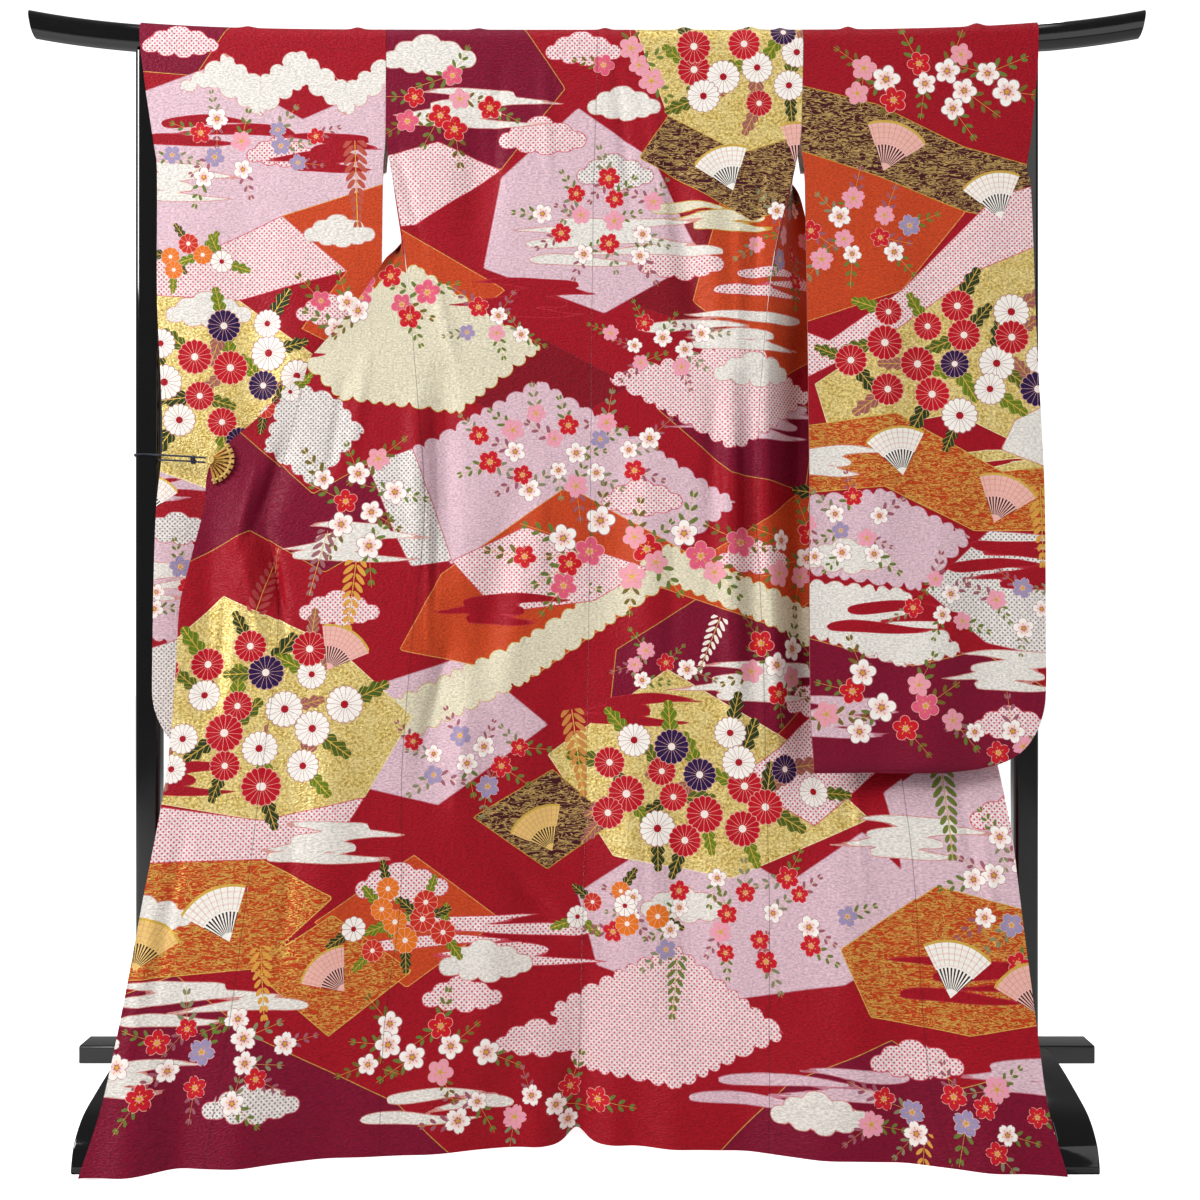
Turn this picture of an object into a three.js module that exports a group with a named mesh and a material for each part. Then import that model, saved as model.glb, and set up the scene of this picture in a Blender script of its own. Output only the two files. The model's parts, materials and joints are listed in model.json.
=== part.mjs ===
// Furisode kimono hung open on a lacquered kimono stand, back towards -Y.
// Millimetres, +Z up. The stand's plane is XZ, and the cloth falls forward to its hem.
import * as THREE from "three";

// ---- Driving dimensions ----

const WALL = 1.8; // cloth with its lining
const SEAM = 0.3; // between two sewn pieces
const DRAPE = 0.8; // between the bar's round top and the cloth laid over it
const HEM_LIFT = 3; // lowest edge of the cloth above the floor
const NECK_HALF = 92; // half the back neck along the shoulder
const COLLAR_WIDTH = 55;
const SQUARE = 0.55; // a wall that faces forward more than this has square edges
const COLUMNS = { back: 8, front: 7, overlap: 5 }; // across each panel
const SETTLING_ROWS = 3; // of a front edge's table, over which the front comes to rest

const BAR = {
  half: 774,
  height: 37,
  depth: 30,
  level: 1478, // of its axis
  rise: 30, // of its tips
  power: 5,
  slant: 7, // of its end faces
  flat: 0.01, // half the flat between its round edges
  curve: 2,
  stations: 22,
  crowd: 0.8, // power that crowds the stations towards the tips
};
const POST = { x: 608, width: 34, depth: 28, round: 7 };
const RAIL = { half: 698, bottom: 69, top: 94, depth: 50, round: 3 };
const FOOT = { width: 50, seatDrop: 2, curvePoints: 14 };
// A foot's upper outline from the rail to its toe: reach from the stand's plane, height.
const FOOT_PROFILE = [
  { reach: RAIL.depth / 2 + SEAM, height: RAIL.top - FOOT.seatDrop },
  { reach: 85, height: 86 },
  { reach: 157, height: 71 },
  { reach: 202, height: 58 },
  { reach: 232, height: 35 },
  { reach: 243, height: 8 },
];
const FOOT_TOE = 241; // where the foot's end meets the floor

// The cloth's cut edges and seams by height: x of each line where the back, fronts and overlaps meet.
const SECTIONS = [
  { z: 1497, centre: 15, sideL: -277, sideR: 299 },
  { z: 1400, centre: 13, sideL: -277, sideR: 297 },
  { z: 1340, centre: 11, sideL: -276, sideR: 294 },
  { z: 1280, centre: 9, sideL: -266, sideR: 281 },
  { z: 1177, centre: 8, sideL: -249, sideR: 256 },
  { z: 1033, centre: 6, sideL: -235, sideR: 240, okumiL: -379, okumiR: 348, outerL: -381, outerR: 350 },
  { z: 960, centre: 6, sideL: -228, sideR: 235, okumiL: -395, okumiR: 364, outerL: -440, outerR: 385 },
  { z: 896, centre: 5, sideL: -222, sideR: 233, okumiL: -412, okumiR: 378, outerL: -504, outerR: 415 },
  { z: 830, centre: 5, sideL: -219, sideR: 230, okumiL: -432, okumiR: 388, outerL: -514, outerR: 440 },
  { z: 760, centre: 4, sideL: -223, sideR: 233, okumiL: -423, okumiR: 396, outerL: -529, outerR: 465 },
  { z: 700, centre: 3, sideL: -229, sideR: 235, okumiL: -412, okumiR: 403, outerL: -540, outerR: 490 },
  { z: 620, centre: 2, sideL: -236, sideR: 237, okumiL: -412, okumiR: 410, outerL: -541, outerR: 517 },
  { z: 480, centre: 0, sideL: -244, sideR: 237, okumiL: -425, okumiR: 417, outerL: -546, outerR: 544 },
  { z: 320, centre: -4, sideL: -242, sideR: 239, okumiL: -438, okumiR: 425, outerL: -566, outerR: 555 },
  { z: 160, centre: -8, sideL: -259, sideR: 236, okumiL: -452, okumiR: 429, outerL: -585, outerR: 566 },
  { z: 80, centre: -10, sideL: -261, sideR: 235, okumiL: -462, okumiR: 436, outerL: -597, outerR: 572 },
  { z: 3, centre: -12, sideL: -262, sideR: 233, okumiL: -472, okumiR: 456, outerL: -617, outerR: 589 },
];

// The front edges above the overlaps: armhole height, then the edge from the neck out through the slit,
// the depth of the gather between them, and the way and share of its width that the collar stands
// off the edge, above the slit.
const LEFT_EDGE = [
  { armhole: 1478, x: -NECK_HALF, y: 17, z: 1478, gather: 0, cx: 0.6, cy: 0, cz: -0.8, wide: 1 },
  { armhole: 1405, x: -140, y: 30, z: 1395, gather: 4, cx: 0.85, cy: 0.1, cz: -0.5, wide: 1 },
  { armhole: 1335, x: -190, y: 42, z: 1315, gather: 22, cx: 0.85, cy: -0.3, cz: -0.45, wide: 0.9 },
  { armhole: 1270, x: -235, y: 40, z: 1250, gather: 44, cx: 0.31, cy: -0.95, cz: -0.1, wide: 0.5 },
  { armhole: 1222, x: -264, y: 18, z: 1203, gather: 40 },
  { armhole: 1180, x: -277, y: -24, z: 1176, gather: 12 },
  { armhole: 1158, x: -296, y: -30, z: 1145, gather: 3 },
  { armhole: 1135, x: -325, y: -37, z: 1100, gather: 0 },
  { armhole: 1058, x: -379, y: -43, z: 1035, gather: 0 },
];
const RIGHT_EDGE = [
  { armhole: 1478, x: NECK_HALF, y: 17, z: 1478, gather: 0, cx: -0.6, cy: 0, cz: -0.8, wide: 1 },
  { armhole: 1405, x: 148, y: 30, z: 1395, gather: 4, cx: -0.85, cy: 0.1, cz: -0.5, wide: 1 },
  { armhole: 1352, x: 208, y: 46, z: 1334, gather: 22, cx: -0.85, cy: -0.3, cz: -0.45, wide: 0.9 },
  { armhole: 1312, x: 270, y: 50, z: 1292, gather: 34, cx: -0.6, cy: 0.6, cz: -0.5, wide: 0.6 },
  { armhole: 1262, x: 306, y: 44, z: 1238, gather: 30 },
  { armhole: 1215, x: 314, y: 33, z: 1182, gather: 20 },
  { armhole: 1160, x: 322, y: 21, z: 1125, gather: 8 },
  { armhole: 1110, x: 332, y: 12, z: 1078, gather: 0 },
  { armhole: 1058, x: 348, y: 4, z: 1035, gather: 0 },
];
const SLIT_FOOT = 1180; // height of the foot of the slits between sleeve and body
const TURNED = { from: 1320, to: 1085, room: 1.1 }; // extra room where a front turns through the slit
const TIP = 6; // the overlap's first full row lies at least this far under its tip
const TIP_SHARE = 0.14; // where the tip lies on the way to that row
const TIP_WIDTH = 8;
const COLLAR_LEVELS = [1010, 980, 950, 915, 880, 840, 800, 750, 700, 640]; // down the spread edges
const COLLAR_COLUMNS = 8;
const COLLAR_OFF = 4.2; // how far the collar lies behind the cloth it is turned under
const COLLAR_NEAR = 2.5; // and along its sewn edge
const COLLAR_START = 1.2; // inside the edge that it is sewn to
const COLLAR_SLOPE = 12; // its free edge lies this much lower
const COLLAR_CLEAR = 2.4; // from the edge that it carries on from
const COLLAR_LOOSE = 0.3; // behind the bar
const NECK_TURN = 0.11; // where the collar begins behind the crest, in radians
const NECK_SHARES = [0.8, 0.4, 0, -0.4, -0.8]; // the collar's cross lines along the neck
const SHOULDER_SHARES = [0.2, 0.4, 0.6, 0.8, 1]; // and where it turns down at a shoulder
const SHOULDER_INSET = { from: 10, to: 3 }; // inside the ends of the neck

// Large folds: a soft ridge (rise > 0, towards -Y) or trough along a line from one point to the other.
const FOLDS = [
  { x0: -148, z0: 1370, x1: -152, z1: 1190, width: 26, rise: -9 },
  { x0: 118, z0: 1290, x1: 160, z1: 1050, width: 20, rise: -11 },
  { x0: 150, z0: 1300, x1: 190, z1: 1060, width: 22, rise: 7 },
  { x0: 222, z0: 1000, x1: 226, z1: 560, width: 17, rise: -13 },
  { x0: 196, z0: 1020, x1: 199, z1: 540, width: 16, rise: 9 },
  { x0: 176, z0: 990, x1: 170, z1: 800, width: 14, rise: -7 },
  { x0: -196, z0: 1010, x1: -190, z1: 740, width: 18, rise: -10 },
  { x0: -232, z0: 980, x1: -228, z1: 760, width: 13, rise: 8 },
  { x0: -402, z0: 930, x1: -440, z1: 800, width: 14, rise: -9 },
  { x0: -466, z0: 850, x1: -452, z1: 700, width: 20, rise: 9 },
  { x0: -434, z0: 800, x1: -408, z1: 690, width: 12, rise: -10 },
  { x0: -505, z0: 810, x1: -500, z1: 560, width: 20, rise: -8 },
  { x0: -180, z0: 690, x1: -212, z1: 470, width: 24, rise: -11 },
  { x0: -150, z0: 620, x1: -168, z1: 400, width: 22, rise: 7 },
  { x0: -110, z0: 360, x1: -40, z1: 270, width: 22, rise: -8 },
  { x0: -70, z0: 340, x1: 0, z1: 250, width: 20, rise: 6 },
  { x0: 60, z0: 520, x1: 78, z1: 180, width: 34, rise: 7 },
  { x0: 330, z0: 380, x1: 345, z1: 60, width: 34, rise: 8 },
  { x0: -330, z0: 560, x1: -345, z1: 220, width: 34, rise: 8 },
];
const FOLD_FADE = 0.12; // how far along the half wave of its height a fold starts
// Waves along the hem, fading upwards: middle of each wave, half width, rise and reach up the cloth.
const HEM_WAVES = [
  { x: -560, half: 30, rise: 12, reach: 130 },
  { x: -505, half: 26, rise: -10, reach: 120 },
  { x: -430, half: 30, rise: 9, reach: 110 },
  { x: -330, half: 40, rise: -7, reach: 120 },
  { x: -190, half: 40, rise: 7, reach: 150 },
  { x: -60, half: 22, rise: 9, reach: 90 },
  { x: -13, half: 18, rise: -14, reach: 110 },
  { x: 34, half: 22, rise: 9, reach: 90 },
  { x: 110, half: 30, rise: 8, reach: 110 },
  { x: 205, half: 34, rise: -8, reach: 130 },
  { x: 300, half: 36, rise: 8, reach: 120 },
  { x: 400, half: 34, rise: -7, reach: 120 },
  { x: 500, half: 34, rise: 9, reach: 130 },
];
const NOTCH = { x: -13, half: 15, lift: 15, fade: 150 }; // where the centre seam draws the hem up

const HANG = { front: 17, power: 1.7, hem: 136, flare: 0.207 }; // depth of the cloth in front of the bar
// How far the right front is pressed back behind its sleeve, by height.
const BEHIND_SLEEVE = [
  { z: 1300, back: 52 },
  { z: 1177, back: 52 },
  { z: 1033, back: 50 },
  { z: 960, back: 48 },
  { z: 800, back: 44 },
  { z: 667, back: 44 },
  { z: 540, back: 38 },
  { z: 480, back: 26 },
  { z: 400, back: 4 },
  { z: 330, back: 0 },
];
const PRESS = { from: 2, over: 60 }; // distances from the side seam

// Sleeves by height, x measured outwards from the stand's middle.
const SLEEVE_LEFT = {
  side: -1,
  lean: 20,
  cuff: 1300,
  rows: [
    { z: 1497, inner: 277.4, outer: 620 },
    { z: 1406, inner: 277.4, outer: 608 },
    { z: 1340, inner: 278, outer: 598 },
    { z: 1305, inner: 281, outer: 593 },
    { z: 1123, inner: 283, outer: 592 },
    { z: 927, inner: 283, outer: 583.5 },
    { z: 824, inner: 283, outer: 592 },
    { z: 593, inner: 283, outer: 595 },
    { z: 560, inner: 283, outer: 592 },
    { z: 530, inner: 283, outer: 579 },
    { z: 506, inner: 283, outer: 558 },
    { z: 490, inner: 283, outer: 522 },
    { z: 482, inner: 283, outer: 470 },
  ],
};
const SLEEVE_RIGHT = {
  side: 1,
  lean: 115,
  cuff: 1300,
  rows: [
    { z: 1497, inner: 299.4, outer: 624 },
    { z: 1434, inner: 298.4, outer: 621 },
    { z: 1340, inner: 294.6, outer: 611 },
    { z: 1300, inner: 299, outer: 605 },
    { z: 1280, inner: 300, outer: 610 },
    { z: 1056, inner: 301, outer: 613 },
    { z: 860, inner: 300, outer: 616 },
    { z: 667, inner: 296, outer: 609 },
    { z: 578, inner: 295, outer: 604 },
    { z: 545, inner: 295, outer: 595 },
    { z: 515, inner: 296, outer: 576 },
    { z: 496, inner: 297, outer: 548 },
    { z: 486, inner: 297, outer: 510 },
    { z: 482, inner: 297, outer: 467 },
  ],
};
const SLEEVE = {
  full: 34, // across, front wall to back wall
  bottom: 7,
  fill: 220, // height over which the bottom fills out
  pinch: 90, // width over which the outer edge flattens
  edge: 2.3,
  inset: 588.5, // the back wall's cuff edge stays inside the post
  clear: 40, // height over which that edge returns to the front wall's
  sewnTo: 1335, // sewn to the body down to this height
  sewnGap: SEAM + 0.2, // between the sewn edges
  change: 10, // height over which the cuff's opening ends
  openTo: 4, // below the cuff's height
  drawnTo: 16,
  columns: 10,
  crowd: 0.85, // power that crowds the columns towards the outer edge
  shape: 0.7, // power of the bottom's filling out
};
// Soft waves down a sleeve: rise, and the lengths across and down in which a wave turns one radian.
const SLEEVE_WAVES = [
  { rise: 4, across: 37, down: 260 },
  { rise: 2.5, across: 19, down: -150 },
];
const SLEEVE_WAVES_REACH = 600; // height over which they grow

const CLIP = { x: -508, z: 896, radius: 34, inner: 4, ribs: 9, rings: 4, thick: 1.6, pleat: 2.2 };
const CLIP_TURN = { from: 45, to: -82, tilt: -7 }; // degrees: the fan's two sides, and its lean
const CLIP_OFF = 0.9; // between the jaws and the fan
const JAW = { length: 20, height: 9, plate: 1.2, gap: 8 };
const CORD = { radius: 1.2, curve: 4, steps: 50 };

const COLOURS = {
  silk: { color: 0xb0101e, roughness: 0.55 },
  sleeve: { color: 0xa81020, roughness: 0.55 },
  okumi: { color: 0x8c0a22, roughness: 0.55 },
  collar: { color: 0xcc4c26, roughness: 0.6 },
  lacquer: { color: 0x060607, roughness: 0.12 },
  gold: { color: 0xc9a545, roughness: 0.3, metalness: 0.9 },
  navy: { color: 0x10143c, roughness: 0.8 },
};

// ---- Small helpers ----

const clamp01 = (t) => Math.min(1, Math.max(0, t));
const mix = (a, b, t) => a + (b - a) * t;
const steps = (count) => Array.from({ length: count + 1 }, (_, i) => i / count);
const smooth = (t) => clamp01(t) ** 2 * (3 - 2 * clamp01(t));
const material = (look) => new THREE.MeshStandardMaterial({ metalness: 0, ...look });

// A smooth curve through a table's column, by another column that falls down the table.
function column(rows, key, by = "z") {
  const kept = rows.filter((row) => row[key] !== undefined);
  const slope = kept.map((row, i) => {
    const above = kept[Math.max(0, i - 1)];
    const below = kept[Math.min(kept.length - 1, i + 1)];
    return (below[key] - above[key]) / (below[by] - above[by]);
  });
  return (at) => {
    const i = Math.max(0, Math.min(kept.length - 2, kept.findIndex((row) => row[by] <= at) - 1));
    const last = at <= kept[kept.length - 1][by] ? kept.length - 2 : i;
    const a = kept[last];
    const b = kept[last + 1];
    const h = b[by] - a[by];
    const t = clamp01((at - a[by]) / h);
    const u = 1 - t;
    return (
      a[key] * (1 + 2 * t) * u * u +
      b[key] * (3 - 2 * t) * t * t +
      h * slope[last] * t * u * u -
      h * slope[last + 1] * t * t * u
    );
  };
}

// ---- Where the cloth hangs ----

const barLevel = (x) => BAR.level + BAR.rise * (Math.abs(x) / BAR.half) ** BAR.power;
const CREST = BAR.depth / 2 + DRAPE + WALL / 2; // cloth's middle from the axis of the bar's round top
const crestLevel = (x) => barLevel(x) + (BAR.height - BAR.depth) / 2;

// The centre seam draws the hem up in a small notch, which fades upwards.
function drawnUp(x, z) {
  const lift = NOTCH.lift * Math.exp(-(((x - NOTCH.x) / NOTCH.half) ** 2));
  return z + lift * clamp01(1 - (z - HEM_LIFT) / NOTCH.fade);
}

function foldRise(x, z) {
  const folds = FOLDS.map((f) => {
    const dx = f.x1 - f.x0;
    const dz = f.z1 - f.z0;
    const along = clamp01(((x - f.x0) * dx + (z - f.z0) * dz) / (dx * dx + dz * dz));
    const off = Math.hypot(x - f.x0 - along * dx, z - f.z0 - along * dz);
    const fade = Math.sin(Math.PI * mix(FOLD_FADE, 1 - FOLD_FADE, along));
    return f.rise * fade * Math.exp(-((off / f.width) ** 2));
  });
  const waves = HEM_WAVES.map(
    (w) => w.rise * Math.exp(-(((x - w.x) / w.half) ** 2) - ((z - HEM_LIFT) / w.reach) ** 2),
  );
  return [...folds, ...waves].reduce((sum, rise) => sum + rise, 0);
}

const pressedBack = column(BEHIND_SLEEVE, "back");
const sideSeamRight = column(SECTIONS, "sideR");

// Depth of the spread cloth at a place seen from the front.
function clothDepth(x, z) {
  const drop = clamp01((BAR.level - z) / BAR.level);
  const reach = HANG.front + (HANG.hem + HANG.flare * Math.abs(x) - HANG.front) * drop ** HANG.power;
  const back = pressedBack(z) * smooth((x - sideSeamRight(z) - PRESS.from) / PRESS.over);
  return back - reach - foldRise(x, z);
}

// A point over the bar's round top, by its turn from the crest to the near (-1) or far side (1).
function overBar(x, turn, sign) {
  return new THREE.Vector3(
    x,
    sign * CREST * Math.sin(turn),
    crestLevel(x) + CREST * Math.cos(turn),
  );
}

// ---- Walls of cloth ----

// A closed wall round a grid of middle points: rows x columns, with both faces and the rims.
// A ring joins its last row to its first, and a crested wall's first row lies on top of the bar.
function wallGeometry(grid, thickness, { ring = false, crested = false } = {}) {
  const rows = grid.length;
  const columns = grid[0].length;
  const at = (i, j) => grid[ring ? (i + rows) % rows : Math.min(rows - 1, Math.max(0, i))][
    Math.min(columns - 1, Math.max(0, j))
  ];
  const points = [];
  [1, -1].forEach((face) => {
    for (let i = 0; i < rows; i++)
      for (let j = 0; j < columns; j++) {
        const down = at(i + 1, j).clone().sub(at(i - 1, j));
        const across = at(i, j + 1).clone().sub(at(i, j - 1));
        const normal = down.cross(across).normalize();
        // At a seam the wall's edge stands square to the seam, so that neighbours stay clear.
        const seam = j === 0 || j === columns - 1;
        if (seam && Math.abs(normal.y) > SQUARE) normal.setX(0).normalize();
        if (crested && i === 0) normal.set(0, 0, Math.sign(normal.z));
        points.push(grid[i][j].clone().addScaledVector(normal, (face * thickness) / 2));
      }
  });
  const id = (face, i, j) => (face * rows + ((i + rows) % rows)) * columns + j;
  const faces = [];
  const quad = (a, b, c, d) => faces.push(a, b, c, a, c, d);
  const lastRow = ring ? rows : rows - 1;
  for (let i = 0; i < lastRow; i++) {
    for (let j = 0; j < columns - 1; j++) {
      quad(id(0, i, j), id(0, i + 1, j), id(0, i + 1, j + 1), id(0, i, j + 1));
      quad(id(1, i, j), id(1, i, j + 1), id(1, i + 1, j + 1), id(1, i + 1, j));
    }
    quad(id(0, i, 0), id(1, i, 0), id(1, i + 1, 0), id(0, i + 1, 0));
    quad(
      id(0, i, columns - 1),
      id(0, i + 1, columns - 1),
      id(1, i + 1, columns - 1),
      id(1, i, columns - 1),
    );
  }
  if (!ring)
    for (let j = 0; j < columns - 1; j++) {
      quad(id(0, 0, j), id(0, 0, j + 1), id(1, 0, j + 1), id(1, 0, j));
      quad(
        id(0, rows - 1, j),
        id(1, rows - 1, j),
        id(1, rows - 1, j + 1),
        id(0, rows - 1, j + 1),
      );
    }
  return closedGeometry(points, faces);
}

// Points and triangles as a geometry whose faces point outwards.
function closedGeometry(points, faces) {
  let volume = 0;
  for (let i = 0; i < faces.length; i += 3)
    volume += points[faces[i]].dot(
      points[faces[i + 1]].clone().cross(points[faces[i + 2]]),
    );
  if (volume < 0)
    for (let i = 0; i < faces.length; i += 3)
      [faces[i + 1], faces[i + 2]] = [faces[i + 2], faces[i + 1]];
  const geometry = new THREE.BufferGeometry().setFromPoints(points);
  geometry.setIndex(faces);
  geometry.computeVertexNormals();
  return geometry;
}

// ---- Back ----

const TURN_STEPS = 4;
const SHOULDER_TO_SPREAD = { from: BAR.level, to: 1058, count: 14 };
const SPREAD_TO_HEM = { from: 1058, to: HEM_LIFT, count: 23 };

// Heights of the rows that every panel shares, so that sewn edges run side by side.
const LEVELS = [SHOULDER_TO_SPREAD, SPREAD_TO_HEM].flatMap(({ from, to, count }) =>
  steps(count)
    .slice(1)
    .map((t) => mix(from, to, t)),
);

// The quarter turn over the bar from its crest, on the near side (-1) or the far side (1).
function crown(place, columns, sign) {
  return steps(TURN_STEPS).map((t) =>
    steps(columns).map((u) => {
      const point = overBar(place(BAR.level, u), (t * Math.PI) / 2, sign);
      point.y += t === 0 ? (sign * SEAM) / 2 : 0;
      return point;
    }),
  );
}

function backPanel(from, to, columns) {
  const left = column(SECTIONS, from.line);
  const right = column(SECTIONS, to.line);
  const place = (z, u) => mix(left(z) + from.gap, right(z) + to.gap, u);
  const fall = LEVELS.map((z) =>
    steps(columns).map((u) => {
      const x = place(z, u);
      return new THREE.Vector3(x, clothDepth(x, z), drawnUp(x, z));
    }),
  );
  return wallGeometry([...crown(place, columns, -1), ...fall], WALL, { crested: true });
}

// ---- Fronts and overlaps ----

// Where a front's edge lies for each height of its side line: the table above the spread, and the
// overlap's seam below it.
function frontEdge(side, edge) {
  const along = (key) => column(edge, key, "armhole");
  const [x, y, z, gather] = ["x", "y", "z", "gather"].map(along);
  const okumi = column(SECTIONS, side < 0 ? "okumiL" : "okumiR");
  const last = edge[edge.length - 1];
  return (level) => {
    if (level > last.armhole)
      return { point: new THREE.Vector3(x(level), y(level), z(level)), gather: gather(level) };
    const low = mix(HEM_LIFT, last.z, (level - HEM_LIFT) / (last.armhole - HEM_LIFT));
    const seam = okumi(low) - side * (SEAM / 2);
    return { point: new THREE.Vector3(seam, clothDepth(seam, low), low), gather: 0 };
  };
}

// The front from the shoulder on the far side, turned through the slit and spread beside the back.
function frontPanel(side, edge, columns) {
  const sideLine = column(SECTIONS, side < 0 ? "sideL" : "sideR");
  const edgeAt = frontEdge(side, edge);
  const settle = { from: edge.at(-SETTLING_ROWS).armhole, to: edge.at(-1).armhole };
  const top = (z, u) => mix(sideLine(z) + side * SEAM, side * NECK_HALF, u);
  const fall = LEVELS.map((level) => {
    const turning = Math.sin(Math.PI * clamp01((TURNED.from - level) / (TURNED.from - TURNED.to)));
    const x = sideLine(level) + side * (SEAM + TURNED.room * turning);
    const swing = smooth((BAR.level - level) / (BAR.level - SLIT_FOOT));
    const a = new THREE.Vector3(x, mix(CREST, clothDepth(x, level), swing), level);
    const { point: b, gather } = edgeAt(level);
    return steps(columns).map((u) => {
      const point = a.clone().lerp(b, u);
      point.y += gather * Math.sin(Math.PI * u);
      const settled = smooth((settle.from - level) / (settle.from - settle.to));
      point.y = mix(point.y, clothDepth(point.x, point.z), settled);
      return point;
    });
  });
  return wallGeometry([...crown(top, columns, 1), ...fall], WALL, { crested: true });
}

// The overlap's rows lie beside the front's, under a small tip where its seam meets the edge.
function okumiPanel(side, edge, columns) {
  const outerLine = column(SECTIONS, side < 0 ? "outerL" : "outerR");
  const edgeAt = frontEdge(side, edge);
  const last = edge[edge.length - 1];
  const lower = LEVELS.filter((level) => level < last.armhole - TIP);
  const rows = lower.map((level) => {
    const seam = edgeAt(level).point;
    const inner = seam.x + side * SEAM;
    return steps(columns).map((u) => {
      const x = mix(inner, outerLine(seam.z), u);
      return new THREE.Vector3(x, clothDepth(x, seam.z), seam.z);
    });
  });
  const start = edgeAt(last.armhole).point;
  const seam = start.clone().lerp(edgeAt(lower[0]).point, TIP_SHARE);
  const tip = steps(columns).map((u) => {
    const x = mix(seam.x + side * SEAM, seam.x + side * TIP_WIDTH, u);
    return new THREE.Vector3(x, seam.y, seam.z);
  });
  return wallGeometry([tip, ...rows], WALL);
}

// ---- Collar ----

// One cross line of the collar: over the bar's round top from the start turn, then straight on.
function collarAcross(x, start, way) {
  const arc = CREST * (Math.PI / 2 - start);
  return steps(COLLAR_COLUMNS).map((u) => {
    const far = u * COLLAR_WIDTH;
    const point = overBar(x, Math.min(Math.PI / 2, start + far / CREST), 1);
    point.y += COLLAR_LOOSE;
    return point.addScaledVector(way, Math.max(0, far - arc));
  });
}

// Cross lines from one shoulder down the front edge behind the body, to where the slit gathers it.
function collarUpper(side, edge) {
  const first = edge[0];
  const wayOf = (row) => new THREE.Vector3(row.cx, row.cy, row.cz).normalize();
  const shoulder = SHOULDER_SHARES.map((t) => {
    const inset = mix(SHOULDER_INSET.from, SHOULDER_INSET.to, t);
    return collarAcross(side * (NECK_HALF - inset), (t * Math.PI) / 2, wayOf(first));
  });
  const beyond = edge
    .filter((row) => row.wide && row !== first)
    .map((row) => {
      const seat = new THREE.Vector3(row.x, row.y, row.z);
      return steps(COLLAR_COLUMNS).map((u) =>
        seat.clone().addScaledVector(wayOf(row), COLLAR_CLEAR + u * row.wide * COLLAR_WIDTH),
      );
    });
  return [...shoulder, ...beyond];
}

// The lower length of the collar, turned under the spread front's edge from the slit to its end.
function collarLower(side) {
  const outerLine = column(SECTIONS, side < 0 ? "outerL" : "outerR");
  const lines = COLLAR_LEVELS.map((z) =>
    steps(COLLAR_COLUMNS / 2).map((u) => {
      const low = z - u * COLLAR_SLOPE;
      const x = outerLine(z) - side * (COLLAR_START + u * COLLAR_WIDTH);
      const off = mix(COLLAR_NEAR, COLLAR_OFF, Math.min(1, 2 * u));
      return new THREE.Vector3(x, clothDepth(x, low) + off, low);
    }),
  );
  return wallGeometry(lines, WALL);
}

function collarUpperGeometry() {
  const down = new THREE.Vector3(0, 0, -1);
  const neck = NECK_SHARES.map((t) => collarAcross(t * NECK_HALF, NECK_TURN, down));
  const lines = [...collarUpper(1, RIGHT_EDGE).reverse(), ...neck, ...collarUpper(-1, LEFT_EDGE)];
  return wallGeometry(lines, WALL);
}

// ---- Sleeves ----

const CUFF_ROWS = [80, 40, 6, -6, -18]; // rows above and below the end of the cuff's opening
const SLEEVE_TOP = 55; // the first row below the bar's level
const SLEEVE_ROWS = 9;
const LOW_ROWS = [80, 53, 30, 14, 4, 0]; // rows above the bottom, closer where the corner rounds

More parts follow.
